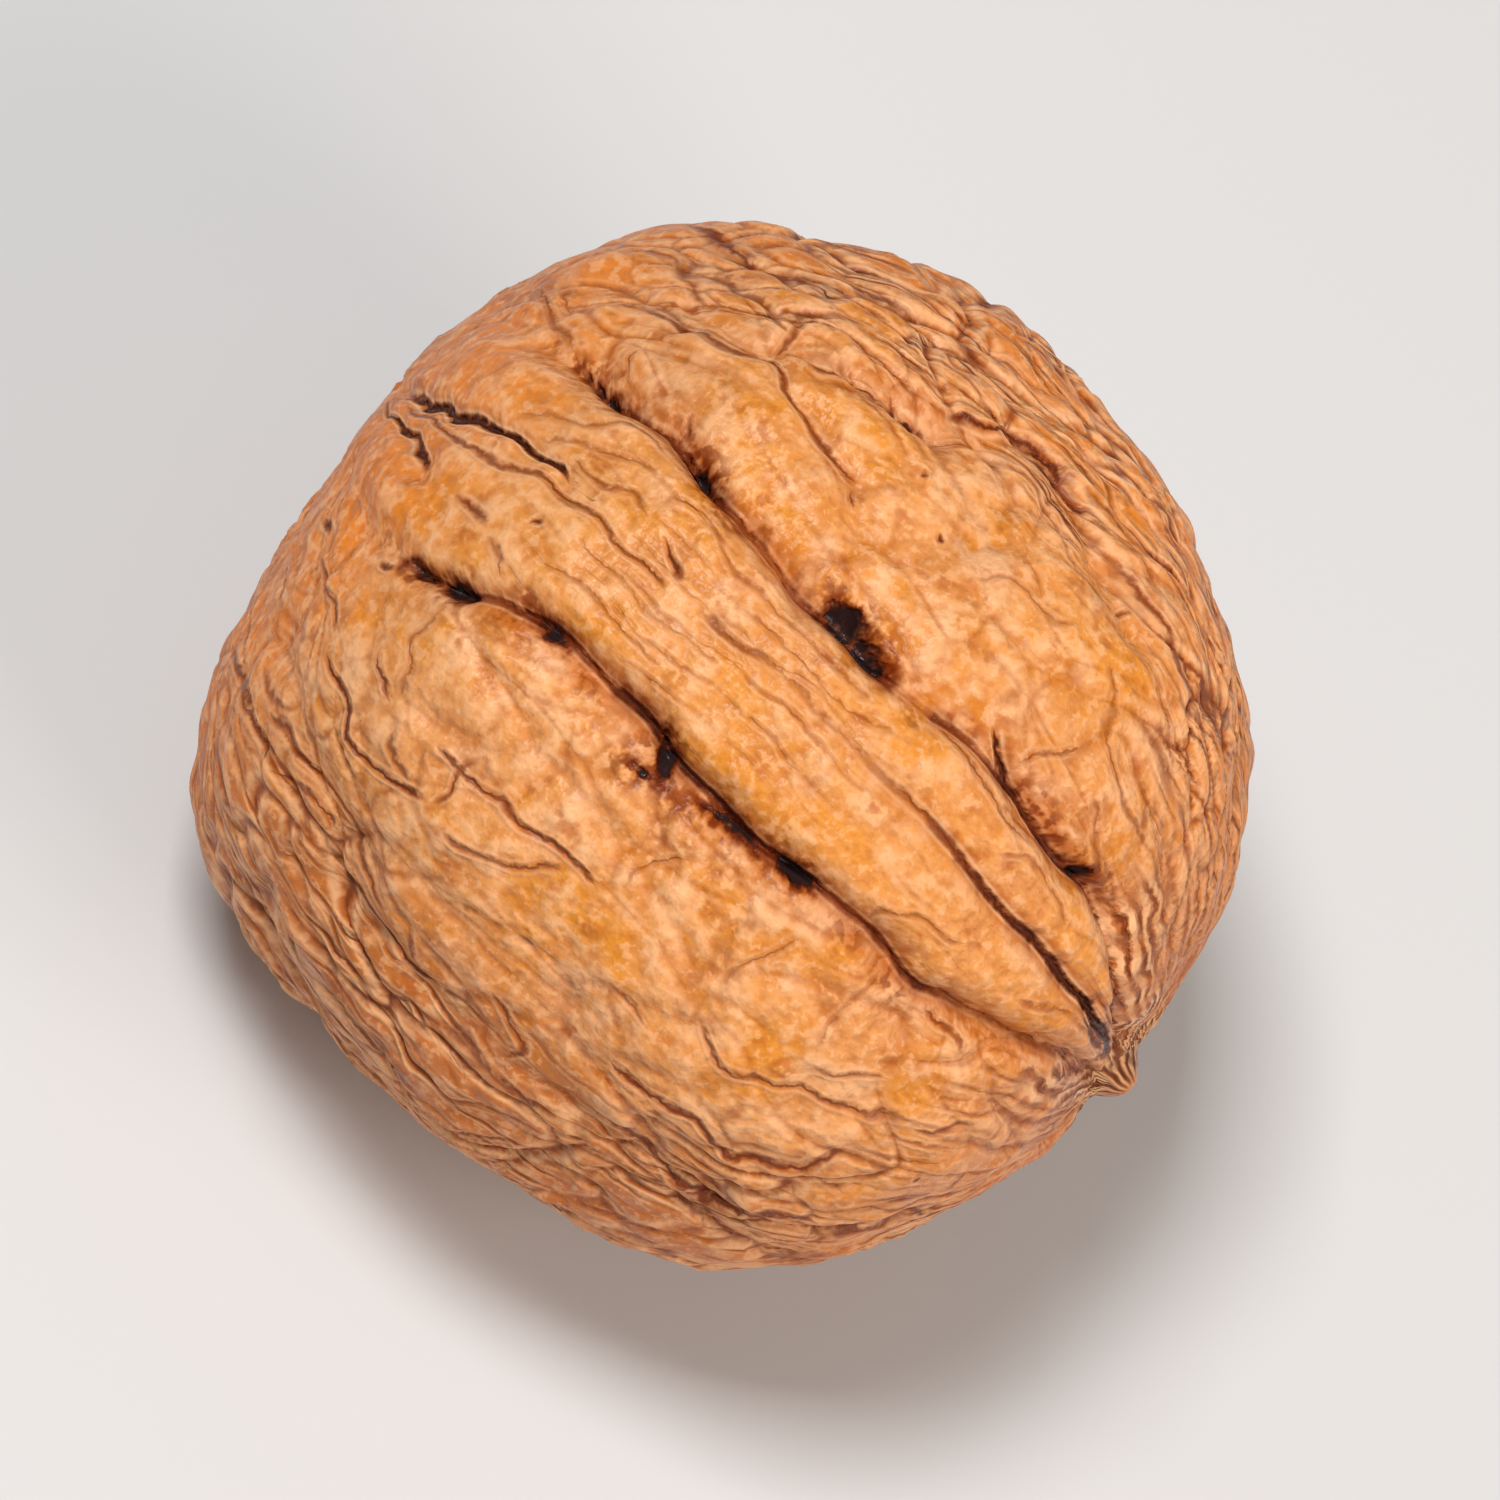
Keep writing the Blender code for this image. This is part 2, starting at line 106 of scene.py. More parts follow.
# Seam band on its front side: (x, y) along its two grooves and the seam line between them.
UPPER_GROOVE = (
    (-17.8, 3.6), (-15.5, 4.5), (-13.3, 4.95), (-12.3, 5.05), (-11.0, 5.4), (-9.6, 5.4), (-8.6, 5.25),
    (-7.3, 4.95), (-5.5, 4.85), (-4.0, 4.6), (-2.2, 4.4), (0.0, 4.25), (1.5, 4.3), (3.5, 4.5),
    (5.0, 4.5), (6.5, 4.7), (7.3, 4.4), (9.0, 4.0), (10.5, 3.7), (11.8, 3.9), (12.6, 3.8),
    (13.3, 3.4), (14.0, 2.95), (14.6, 2.3), (15.2, 1.8), (15.8, 1.3), (16.5, 0.85), (17.4, -0.2),
)
LOWER_GROOVE = (
    (-17.8, -3.4), (-15.5, -4.4), (-13.4, -4.4), (-12.0, -4.0), (-11.0, -3.5), (-10.3, -2.95),
    (-9.5, -2.85), (-8.5, -2.6), (-7.4, -2.45), (-6.0, -2.5), (-5.0, -2.6), (-3.3, -2.5),
    (-2.7, -2.75), (-2.0, -2.95), (0.0, -3.1), (1.0, -3.1), (3.0, -2.85), (4.0, -2.72), (5.0, -2.75),
    (6.0, -2.65), (8.0, -2.75), (9.8, -2.88), (10.4, -2.6), (12.0, -2.15), (13.0, -1.8), (15.0, -1.1),
    (17.4, -0.5),
)
SEAM_LINE = (
    (-17.8, 0.0), (-13.3, 0.7), (-10.0, 1.1), (-5.0, 1.45), (-3.5, 1.5), (-1.5, 1.7), (2.0, 1.65),
    (5.0, 1.5), (7.0, 1.4), (9.0, 1.1), (11.5, 1.05), (12.5, 0.9), (14.2, 0.65), (15.0, 0.5),
    (16.0, 0.2), (17.4, -0.2),
)
# The same three lines on the far side.
UPPER_BACK = (
    (-17.8, 3.2), (-12.0, 4.3), (-5.0, 4.9), (3.0, 4.6), (10.0, 3.7), (15.0, 1.6), (17.4, -0.2),
)
LOWER_BACK = (
    (-17.8, -3.0), (-12.0, -3.6), (-4.0, -4.2), (4.0, -3.7), (10.0, -3.2), (15.0, -1.6), (17.4, -0.5),
)
SEAM_BACK = ((-17.8, 0.0), (-8.0, 0.5), (0.0, 0.1), (8.0, 0.7), (17.4, -0.2))
# Each line wanders a little: height, wavelength, seed.
UPPER_WANDER = (0.12, 3.0, 41)
LOWER_WANDER = (0.12, 3.0, 42)
SEAM_WANDER = (0.08, 2.5, 43)
ROUNDING = (-0.6, -0.3, 0.0, 0.3, 0.6)

# Cross-section of the band: a low rise with rounded shoulders between two ragged grooves.
BAND_RISE = 0.35
BAND_SHOULDER = (-0.15, 1.3)
BAND_DEPTH_FADE = (0.6, 3.5)
BAND_TIP_FADE = (0.4, 2.2)
BAND_STEM_FADE = (-17.0, -9.5)
BAND_STEM_SHARE = 0.2
GROOVE_DEPTH = 0.6
GROOVE_WIDTH = 0.5
GROOVE_STEEPNESS = 1.4
GROOVE_FLANK = 0.4
GROOVE_FLANK_WIDTH = 2.4
GROOVE_RAGGED = (0.75, 0.4, 5.0)
UPPER_RAGGED_SEED = 44
LOWER_RAGGED_SEED = 45
SEAM_DEPTH = 0.24
SEAM_WIDTH = 0.35
SEAM_STEEPNESS = 1.5
SEAM_FAINT = 0.25
SEAM_TIPWARD = (5.0, 13.0)

# Pits in the grooves: x, y, half length, half width, tilt in degrees, depth, on the front side.
PITS = (
    (-0.95, 4.95, 0.85, 0.5, 0.0, 0.55),
    (0.3, 4.6, 1.05, 0.34, -14.0, 0.6),
    (-8.05, 5.1, 0.8, 0.25, -15.0, 0.5),
    (-12.9, 4.95, 0.9, 0.2, 0.0, 0.3),
    (-11.6, -3.85, 0.6, 0.38, 20.0, 0.55),
    (-12.9, -4.2, 0.6, 0.17, 10.0, 0.3),
    (-8.1, -2.65, 0.65, 0.26, 0.0, 0.35),
    (-2.3, -3.15, 0.95, 0.28, -48.0, 0.4),
    (-2.6, -4.05, 0.35, 0.1, 0.0, 0.15),
    (1.1, -3.3, 0.95, 0.2, 5.0, 0.35),
    (3.55, -2.95, 0.85, 0.3, 5.0, 0.45),
    (11.1, 4.05, 0.4, 0.26, 0.0, 0.3),
)
PIT_STEEPNESS = 2.5

# Furrows on the front side: points (x, y), then depth and width.
FURROWS = (
    (((-9.0, 10.3), (-7.2, 10.9), (-5.0, 11.7), (-3.2, 11.9)), 0.6, 0.5),
    (((-3.0, 12.2), (-1.6, 13.2), (0.0, 13.7), (2.0, 13.2), (4.5, 12.2), (6.5, 11.0)), 0.45, 0.55),
    (((-12.5, 9.0), (-9.2, 9.6), (-6.5, 9.2), (-4.0, 8.6)), 0.4, 0.4),
    (((-17.7, 0.0), (-16.0, 0.5), (-13.5, 1.5), (-11.6, 1.75), (-11.2, 1.35)), 0.4, 0.3),
    (((-17.1, -1.0), (-15.9, -1.1), (-15.2, -1.9)), 0.35, 0.3),
    (((5.2, 5.6), (6.4, 4.9)), 0.3, 0.3),
    (((-8.0, -14.3), (-3.0, -14.8), (3.0, -14.4), (9.0, -13.4)), 0.35, 0.7),
    (((-15.0, -9.5), (-11.0, -12.0), (-7.0, -12.8)), 0.3, 0.6),
)
FURROW_WAVER = ((0.18, 2.2, 51), (0.18, 2.2, 52))
FURROW_STEEPNESS = 1.5

# Smooth bulges on the front of a cheek: x, y, half length, half width, height.
BULGES = (
    (-7.5, 7.5, 4.2, 1.8, 0.3),
    (2.2, 10.5, 4.4, 2.4, 0.28),
    (-15.4, 2.5, 1.9, 1.4, 0.25),
    (-16.0, -3.2, 1.4, 1.5, 0.25),
)
BULGE_CALM = 0.55

# Long swells all over: height, wavelength, seed.
LUMPS = ((0.42, 15.0, 3), (0.2, 7.5, 4))
LUMPS_ON_BAND = 0.4

# Net of pillowed cells in two sizes, drawn out along the nut: cell size, depth.
NET = ((4.4, 0.3), (2.0, 0.16))
NET_DRAW_OUT = 2.3
NET_PINCH = 0.6
NET_WANDER = ((1.1, 9.0, 21), (0.45, 3.2, 22))
NET_STRENGTH = (0.75, 0.35, 11.0, 31)
NET_ON_BAND = 0.3
NET_ON_FRONT = 0.85
NET_FRONT_SPAN = (9.0, 14.0)
NET_AT_ENDS = 0.4
NET_END_SPAN = (11.0, 15.5)
NET_LEVEL = 0.7
PILLOW_SHARE = 0.16
CREASE_WIDTH = 0.24
CELL_STEP = 0.04
CELL_STEP_EDGE = 0.12

# Soft patches of colour and of the net: size, detail, and where each begins and is full.
TONES = {
    "gold": (3.4, 3.0, 0.46, 0.6),
    "peach": (2.0, 4.0, 0.45, 0.6),
    "blush": (1.4, 4.0, 0.53, 0.68),
    "smudge": (1.8, 3.0, 0.44, 0.58),
}
NET_SHOWS = {"coarse": (6.0, 2.0, 0.28, 0.5), "fine": (4.5, 3.0, 0.33, 0.56)}
# The net's patches are read this far off along each axis, so that they differ from the colours'.
PATCHES_APART = 50.0

# How it rests.
ROLL = math.radians(30.0)
PITCH = math.radians(0.6)
FLAT_DEPTH = 0.3
FLAT_FADE = (math.radians(11.0), math.radians(22.0))

# Fine relief, which only this script adds. Sharp bottoms of the grooves and the seam.
GROOVE_CUT_WIDTH = 0.22
# Sharp bottoms and raised lips of the net's creases.
NET_CUT_DEPTH = 0.09
NET_CUT_WIDTH = 0.15
NET_LIP_HEIGHT = 0.05
NET_LIP_PLACE = 0.33
NET_LIP_WIDTH = 0.15
# Soft dents all over, as in hammered metal: share of their depth, wavelength, seed.
DENTS = ((1.0, 3.2, 91), (0.6, 1.7, 92))
DENTS_ON_BAND = 0.6
# How sharply the stained pits taper, and where their edge lies, as a share of their size.
PIT_TAPER = 1.55
PIT_EDGE = 1.1
# How dark each line shows along the front: (x, share), and its share on the far side.
UPPER_SHOWS = (
    (-15.0, 0.0), (-13.8, 0.5), (-12.5, 0.9), (-9.5, 0.75), (-9.0, 1.0), (-7.3, 1.0), (-6.5, 0.6),
    (-4.0, 0.5), (-2.2, 0.7), (-1.8, 1.0), (1.2, 1.0), (1.9, 0.25), (3.2, 0.3), (3.5, 0.8),
    (5.5, 0.6), (7.0, 0.95), (11.5, 0.9), (12.5, 0.6), (15.0, 0.75), (17.0, 0.8),
)
LOWER_SHOWS = (
    (-14.5, 0.0), (-13.3, 0.6), (-10.3, 0.6), (-9.5, 0.8), (-8.5, 0.95), (-7.0, 0.7), (-5.5, 0.8),
    (-4.0, 1.0), (4.5, 1.0), (5.0, 0.75), (6.5, 0.75), (9.8, 0.9), (10.8, 0.5), (13.0, 0.4), (17.0, 0.6),
)
SEAM_SHOWS = (
    (-5.0, 0.0), (-4.3, 0.55), (-2.8, 0.5), (-1.5, 0.25), (2.0, 0.3), (4.0, 0.4), (7.0, 0.75),
    (9.0, 0.9), (12.5, 1.0), (14.0, 1.25), (15.6, 1.2), (16.4, 0.8), (17.3, 0.6),
)
SHOWS_BEHIND = (0.75, 0.3, 5.0, 73)
SHOWS_FRONT_SPAN = (-1.0, 1.0)
# Long wrinkles from end to end: how many there are round the nut, and seed.
WRINKLES = ((46, 81), (96, 82))
WRINKLE_WANDER = ((1.8, 9.0), (0.9, 4.2), (0.3, 1.6))
WRINKLE_WANDER_STRETCH = np.array([1.0, 0.45, 0.45])
# How far down from the front they begin, and where they fade towards the ends.
WRINKLE_SPAN = (9.0, 13.4)
WRINKLE_END = (2.5, 6.5)
WRINKLE_STEM_END = (5.0, 12.5)
WRINKLE_PATCHES = ((0.45, 0.6, 6.0, 71), (0.4, 0.6, 4.5, 72))
WRINKLE_ON_BAND = (0.1, 0.5)
WRINKLE_TIPWARD = (-1.0, 5.0)
WRINKLE_STEMWARD = (9.0, 13.5)
WRINKLE_WIDTH = 0.3
# Depth of each set beside the full one, and the level that the valleys are cut from.
WRINKLE_SHARES = (1.0, 0.5)
WRINKLE_LEVEL = 0.3
WRINKLE_SEED_STEP = 10
WRINKLE_TIP_CALM = 0.6
WRINKLE_FRONT_FADE = (-3.0, 3.0)
# How strongly the net's lines show on the sides, and how much less on the front, the band and the bulges.
NET_DRAWN = {"coarse": (1.0, 0.8, 0.75, 1.0), "fine": (0.9, 0.6, 0.6, 0.5)}
NET_DRAWN_TIP = (1.5, 4.5)
NET_DRAWN_END_CALM = 0.6
# Stained crumbs beside the grooves: how far they lie from each groove, how wide, and the least share.
UPPER_HALO = (0.4, 0.55)
LOWER_HALO = (-0.5, 0.6)
HALO_LEAST = 0.15
# The grooves and the seam still show this much where they meet at the tip.
LINES_AT_TIP = 0.5
LINES_TIP_FADE = (0.2, 1.0)

# Thin creases and cracks on the front side: how strong, and points (x, y).
CREASES = (
    # Stem end of the band.
    (1.2, ((-17.8, -0.1), (-17.0, 0.2), (-15.3, 0.75), (-14.6, 1.0), (-13.4, 1.5), (-12.5, 1.5),
           (-11.7, 1.65), (-11.3, 1.4))),
    (0.55, ((-17.4, -0.3), (-15.2, 0.0), (-14.0, 0.15), (-13.0, 0.6), (-11.0, 0.95), (-9.0, 1.2),
            (-7.0, 1.3), (-6.3, 1.2))),
    (1.0, ((-17.9, -0.95), (-16.2, -1.0), (-15.7, -1.2), (-15.4, -1.6))),
    (0.3, ((-15.4, -1.6), (-15.3, -2.6))),
    (0.65, ((-13.6, -1.55), (-12.9, -1.35), (-12.3, -1.3), (-11.9, -1.5))),
    (0.35, ((-11.9, -1.6), (-11.0, -2.0), (-10.2, -2.5))),
    (0.8, ((-7.4, 2.3), (-7.0, 2.0), (-6.5, 1.85), (-5.9, 1.9))),
    (0.85, ((-10.85, 0.15), (-11.0, -0.3))),
    (0.3, ((-14.0, 2.0), (-12.3, 3.3), (-11.0, 4.4), (-10.3, 4.7), (-9.3, 4.7))),
    (0.3, ((-13.2, 1.9), (-11.5, 2.9), (-10.0, 3.6), (-8.9, 3.8))),
    (0.4, ((-11.6, 2.2), (-10.2, 2.1), (-9.3, 2.6), (-8.2, 2.5))),
    (0.3, ((-8.5, 3.0), (-8.0, 3.9), (-7.0, 4.0), (-5.0, 3.2), (-3.0, 3.1), (-1.0, 3.2), (1.5, 3.1))),
    (0.25, ((-4.0, 2.4), (-2.0, 2.5), (0.5, 2.4), (3.0, 2.6))),
    (0.25, ((-9.5, 0.2), (-7.0, 0.4), (-5.0, 0.3), (-3.0, 0.5))),
    (0.3, ((-10.0, -0.9), (-8.2, -0.8), (-6.0, -1.0), (-4.5, -0.9))),
    # Tip end of the band.
    (0.75, ((13.8, 0.3), (14.5, 0.2), (15.5, 0.05), (16.5, -0.15), (17.2, -0.4))),
    (0.35, ((11.8, -0.7), (12.6, -0.4), (13.3, 0.0), (14.0, 0.1))),
    (0.35, ((6.2, -2.5), (6.5, -1.7), (7.5, -1.0), (9.5, -0.6))),
    (0.3, ((8.0, 2.3), (9.0, 2.8), (10.3, 2.7), (11.5, 2.1))),
    (0.4, ((3.7, 4.3), (4.8, 3.95), (6.4, 3.7), (8.6, 3.2))),
    (1.0, ((5.3, 5.55), (6.0, 5.05), (7.0, 4.6), (8.0, 4.3))),
    (0.6, ((11.6, 3.6), (12.4, 3.45), (13.0, 3.1))),
    (0.5, ((10.2, -3.1), (10.9, -3.25), (11.7, -3.2), (12.2, -3.7))),
    # Upper cheek.
    (0.7, ((-14.5, 10.8), (-13.0, 11.35), (-12.0, 11.7), (-11.0, 12.1), (-10.4, 12.4), (-8.6, 12.75))),
    (0.45, ((-13.0, 13.0), (-11.5, 13.6), (-10.2, 14.0), (-9.2, 14.6))),
    (0.45, ((-15.2, 8.8), (-13.6, 9.8), (-12.3, 10.6), (-10.5, 10.7), (-9.4, 10.5))),
    (0.6, ((-14.0, 7.8), (-13.0, 8.2), (-11.7, 8.3), (-10.3, 8.9), (-9.0, 9.5), (-8.4, 9.2),
           (-7.2, 9.1), (-5.0, 8.8), (-4.2, 8.8))),
    (0.5, ((-9.2, 11.7), (-9.3, 10.9), (-9.1, 10.2), (-9.0, 9.6))),
    (0.95, ((-5.4, 11.75), (-4.8, 11.6), (-4.0, 11.8), (-3.0, 11.8))),
    (0.6, ((-8.2, 10.4), (-6.8, 10.9), (-5.8, 11.3), (-5.3, 11.6))),
    (0.8, ((-3.5, 12.5), (-2.8, 13.0), (-1.8, 13.45), (-0.8, 13.8), (0.4, 13.85), (1.6, 13.75))),
    (0.4, ((1.6, 13.75), (3.0, 13.9), (4.2, 13.5), (5.6, 13.5))),
    (0.5, ((-0.3, 13.3), (1.0, 13.0), (2.0, 12.8), (3.4, 12.4))),
    (0.6, ((4.3, 12.65), (5.0, 12.5), (6.0, 12.1), (7.6, 11.6), (9.0, 11.0), (10.2, 10.3))),
    (0.5, ((5.95, 11.8), (5.7, 11.2))),
    (0.85, ((-0.75, 9.3), (-0.4, 9.1))),
    (0.7, ((-2.85, 10.45), (-2.65, 10.25))),
    (0.5, ((-4.2, 8.6), (-3.9, 8.1), (-3.4, 7.8))),
    (0.3, ((1.1, 8.8), (1.9, 9.5), (3.0, 9.6), (4.2, 9.4), (4.8, 9.9))),
    (0.35, ((6.3, 9.7), (7.3, 8.9), (8.2, 7.9), (9.4, 7.2), (10.5, 6.6), (11.8, 6.4))),
    (0.4, ((6.6, 5.2), (6.7, 5.9), (7.5, 6.4), (7.9, 7.2))),
    (0.3, ((9.0, 6.2), (10.2, 5.4), (11.2, 4.6), (11.7, 4.2))),
    (0.45, ((-10.3, 6.4), (-9.7, 5.6))),
    (0.4, ((-12.9, 6.9), (-13.0, 6.2), (-12.5, 5.8))),
    (0.45, ((-16.6, 5.6), (-15.6, 5.4), (-14.6, 5.0))),
    (0.4, ((-15.6, 6.9), (-15.9, 6.2), (-15.4, 5.7))),
    # Lower cheek.
    (0.9, ((-16.9, -5.1), (-16.6, -5.5), (-16.3, -5.75))),
    (0.5, ((-16.3, -6.5), (-15.0, -7.1), (-13.6, -7.65))),
    (0.8, ((-14.3, -4.85), (-13.6, -5.0))),
    (0.35, ((-11.2, -4.6), (-11.4, -5.8), (-10.7, -6.5), (-10.5, -7.2), (-10.0, -7.9))),
    (0.6, ((-12.0, -7.2), (-11.0, -7.7), (-10.2, -8.2))),
    (0.75, ((-13.4, -8.5), (-12.6, -8.8), (-11.5, -9.1), (-11.0, -9.6), (-10.5, -10.0), (-9.6, -10.1),
            (-8.5, -9.85), (-7.1, -9.7))),
    (0.5, ((-9.7, -8.7), (-9.2, -9.25), (-8.5, -9.5), (-7.8, -9.5))),
    (0.55, ((-6.9, -7.3), (-7.0, -8.2), (-6.8, -9.0), (-7.0, -9.6))),
    (0.6, ((-8.3, -8.0), (-7.2, -8.0), (-6.0, -8.05), (-4.8, -7.95), (-3.6, -7.97), (-1.9, -7.9),
           (-1.0, -8.0))),
    (0.5, ((-6.3, -9.9), (-5.4, -9.95), (-4.4, -9.6), (-3.6, -9.4), (-3.0, -8.7), (-2.2, -8.3))),
    (0.3, ((-0.4, -7.3), (-0.6, -6.6), (-0.2, -6.1), (0.6, -5.3))),
    (0.3, ((5.2, -4.2), (4.9, -5.2), (4.6, -6.6), (4.4, -7.4))),
    (0.5, ((4.8, -8.65), (5.4, -9.0), (6.0, -9.15), (7.0, -9.0), (8.0, -8.6), (9.0, -8.1), (10.0, -7.7),
           (11.0, -7.1), (11.6, -6.5), (12.1, -6.1))),
    (0.4, ((8.3, -7.4), (9.2, -6.95), (10.0, -6.35), (11.0, -5.9))),
    (0.5, ((12.2, -6.4), (13.0, -6.2), (13.6, -5.3), (14.1, -4.8))),
    (0.25, ((8.1, -3.3), (8.0, -4.4), (8.2, -5.6), (8.2, -6.8))),
    (0.7, ((3.4, -11.95), (4.2, -11.95), (5.2, -11.85), (6.0, -11.5), (6.8, -11.25), (7.5, -11.4),
           (8.8, -11.5), (9.4, -11.1), (10.0, -10.6), (10.9, -9.9), (11.2, -9.1), (11.5, -8.5))),
    (0.4, ((11.0, -9.8), (12.0, -9.8), (12.5, -9.7))),
    (0.4, ((1.4, -9.95), (2.4, -9.9), (3.6, -10.0))),
    (0.6, ((-1.1, -13.05), (-0.6, -13.3), (0.0, -13.45), (0.9, -13.6), (1.25, -13.85), (0.7, -14.7))),
    (0.5, ((-4.7, -13.4), (-4.2, -13.9), (-3.6, -14.4))),
    (0.85, ((-7.8, -14.1), (-6.0, -14.2), (-4.9, -14.5), (-3.7, -14.6), (-2.4, -14.5))),
    (0.5, ((-1.5, -15.1), (0.0, -15.2), (1.9, -15.35), (3.0, -15.3))),
    (0.6, ((-13.5, -11.3), (-12.6, -11.6), (-12.0, -11.95), (-10.0, -12.25), (-9.1, -12.2),
           (-8.2, -12.9), (-7.2, -13.4), (-5.6, -13.6))),
    (0.6, ((-16.3, -10.8), (-15.4, -11.3), (-14.2, -11.9), (-13.2, -12.3), (-12.4, -12.9))),
    (0.5, ((-12.0, -12.9), (-11.0, -12.75), (-10.0, -12.9), (-9.0, -13.1))),
    (0.5, ((-15.0, -10.6), (-14.0, -11.0), (-13.3, -11.2))),
    (0.7, ((4.2, -14.0), (5.5, -13.85), (6.8, -13.7), (8.2, -13.9), (9.3, -13.9), (10.3, -13.0),
           (11.1, -12.2), (12.6, -11.2))),
    (0.6, ((13.0, -11.1), (12.8, -12.0))),
    (0.6, ((13.2, -11.2), (14.0, -10.2), (15.0, -8.9), (15.75, -8.0), (16.1, -7.1))),
    (0.5, ((13.5, -9.2), (14.1, -8.5), (14.5, -7.8), (15.0, -7.1), (15.2, -6.0))),
    (0.8, ((13.55, -7.4), (13.65, -7.7))),
)
CREASE_REACH = (0.3, 0.5)
CREASE_TAPER = 0.6
CREASE_TAPER_SHARE = 0.4
CREASE_VALLEY = 0.3
CREASE_LAYERS = 3
CREASE_RIM_FADE = (0.0, 2.0)
CREASE_OVERRUN = -0.05

# Fine pleats drawn in the finish: how many round the nub, and how many beside the band near the tip.
NUB_PLEATS = 16
SHEAF_PLEATS = 90
NUB_SPAN = (1.2, 5.0)
NUB_MIDDLE = (0.35, 0.9)
NUB_AT_STEM = 0.35
PLEAT_WAVER = (2.4, 5.0, 62)
# Some pleats beside the band are faint: mean strength, then height, wavelength, seed.
SHEAF_PATCHES = (0.7, 0.6, 1.3, 64)
SHEAF_STRETCH = (0.3, 1.0, 1.0)
SHEAF_EDGE = (-0.1, 0.15)
# Where the pleats beside the band begin along the nut, and how far they spread from each groove.
UPPER_SHEAF = (12.0, 13.6, 1.5, 3.2)
LOWER_SHEAF = (13.0, 15.2, 1.2, 2.8)

# Noises of the finish: size in millimetres, detail, roughness.
CRUMB = (0.45, 2.0, 0.5)
MOTTLE = (1.3, 2.0, 0.55)
GRAIN = (0.17, 1.0)
GRIT_SHARE = 0.3
# Where the mottle breaks the lines up: its span, and the least and added share of their width.
BROKEN_SPAN = (0.36, 0.6)
BROKEN_LEAST = 0.5
BROKEN_GAIN = 0.85

# Lines in the finish, in millimetres. Placed lines: width where one shows fully, width of its glow,
# its least width, how far it is shaken, how dark it gets, and the lips beside it, painted as highlights.
LINE_LOOK = (0.17, 0.45)
CREASE_LOOK = (0.06, 0.28)
LINE_LEAST = 0.04
LINE_SHAKE = 0.32
LINE_GAIN = 1.3
LINE_MOST = 0.95
LIP_PLACE = 0.2
LIP_WIDTH = 0.08
# Coarse and fine lines: width, width of the glow, place and width of the ridges beside them, painted as
# highlights.
WRINKLE_LOOKS = ((0.085, 0.28, 0.26, 0.09), (0.055, 0.15, 0.17, 0.06))
WRINKLE_SHAKE = 0.24
NET_LOOKS = ((0.075, 0.2, 0.25, 0.1), (0.055, 0.15, 0.2, 0.08))
NET_SHAKE = 0.16
NET_FINE_SHARE = 0.9
NET_GLOW_SHARE = 0.7
GLOW_GAIN = 1.1
GLOW_MOST = 0.85

# Pleats in the finish: how much they bend, waver with the noises, and the spans of their waves.
NUB_BEND = 1.0
SHEAF_BEND = 0.5
PLEAT_SWAY = 4.5
PLEAT_SHAKE = 1.2
PLEAT_VALLEY = (0.6, 0.15)
PLEAT_RIDGE = (0.6, 0.9)

# Pits in the finish: how ragged they are, and the spans of their floor, rim and stain.
PIT_SHAKE = 0.6
PIT_SWAY = 0.3
PIT_SPAN = (0.04, -0.14)
PIT_RIM_SPAN = (0.22, 0.0)
STAIN_SWAY = 2.4
STAIN_SPAN = (0.6, -0.05)
TAR_SPAN = (0.66, 0.5)
TAR_LEAST = 0.65
TAR_GAIN = 0.3
PIT_SMOOTHER = 0.1

# Painted shade on the sides, stem end and rims, with warm painted bounce light on the sides and stem end,
# by depth, length and width of the nut in millimetres.
SIDE_SHADE_SPAN = (14.0, 2.0)
STEM_SIDE_SHADE_SPAN = (-11.5, -16.5)
RIM_SHADE_SPAN = (10.0, 0.0)
LOW_RIM_SHADE_SPAN = (-9.5, -16.0)
LOW_RIM_SHADE_GAIN = 1.6

# Layers of colour over the tan ground, from the bottom up: what a layer follows, the values at which
# it begins and is full (None: as it comes), its share, its colour, and what limits it.
COLOUR_LAYERS = (
    ("mottle", (0.4, 0.54), 0.7, "pale", "peach"),
    ("height", (0.05, 0.4), 0.35, "gold", None),
    # Painted shade and warm painted bounce light: the sides and stem end turn a deeper amber.
    ("side", None, 0.85, "amber_bounce_shade", None),
    # Painted shade: the rims are darkened towards russet.
    ("rim_shade", None, 0.4, "russet", None),
    # Painted shade: hollows in the relief are darkened towards russet.
    ("height", (-0.05, -0.5), 0.4, "russet", None),
    ("mottle", (0.54, 0.66), 0.5, "pale", None),
    ("mottle", (0.46, 0.34), 0.25, "russet", None),
    ("crumb", (0.6, 0.45), 0.7, "russet", "blush"),
    ("crumb", (0.46, 0.33), 0.3, "russet", None),
    ("grain", (0.5, 0.25), 0.1, "russet", None),
    ("grit", (0.68, 0.8), 0.45, "pale", None),
    ("glow", None, 1.0, "russet", None),
    # Painted highlights: pale lines on the lips and ridges beside the lines, wrinkles and net creases.
    ("highlight lines", None, 0.75, "pale", None),
    ("mottle", (0.62, 0.42), 0.7, "russet", "halo"),
    ("crumb", (0.52, 0.42), 0.8, "crease", "halo"),
    ("near tip", None, 0.35, "russet", None),
    # Painted highlights on the pleat ridges.
    ("pleat ridges", None, 1.0, "pale", None),
    # Wrinkles and creases: a real brown, darkened further as painted shade.
    ("wrinkles", None, 0.85, "crease", None),
    ("creases", None, 0.85, "crease", None),
    ("crumb", (0.6, 0.42), 0.65, "crease", "stains"),
    # Pleat valleys: a real brown, darkened further as painted shade.
    ("pleat valleys", None, 0.9, "crease", None),
    ("full lines", None, 1.0, "crease", None),
    ("lines", (0.6, 0.98), 0.85, "crack", None),
    ("pit rims", None, 0.85, "crease", None),
    ("tar", None, 1.0, "tar", None),
)

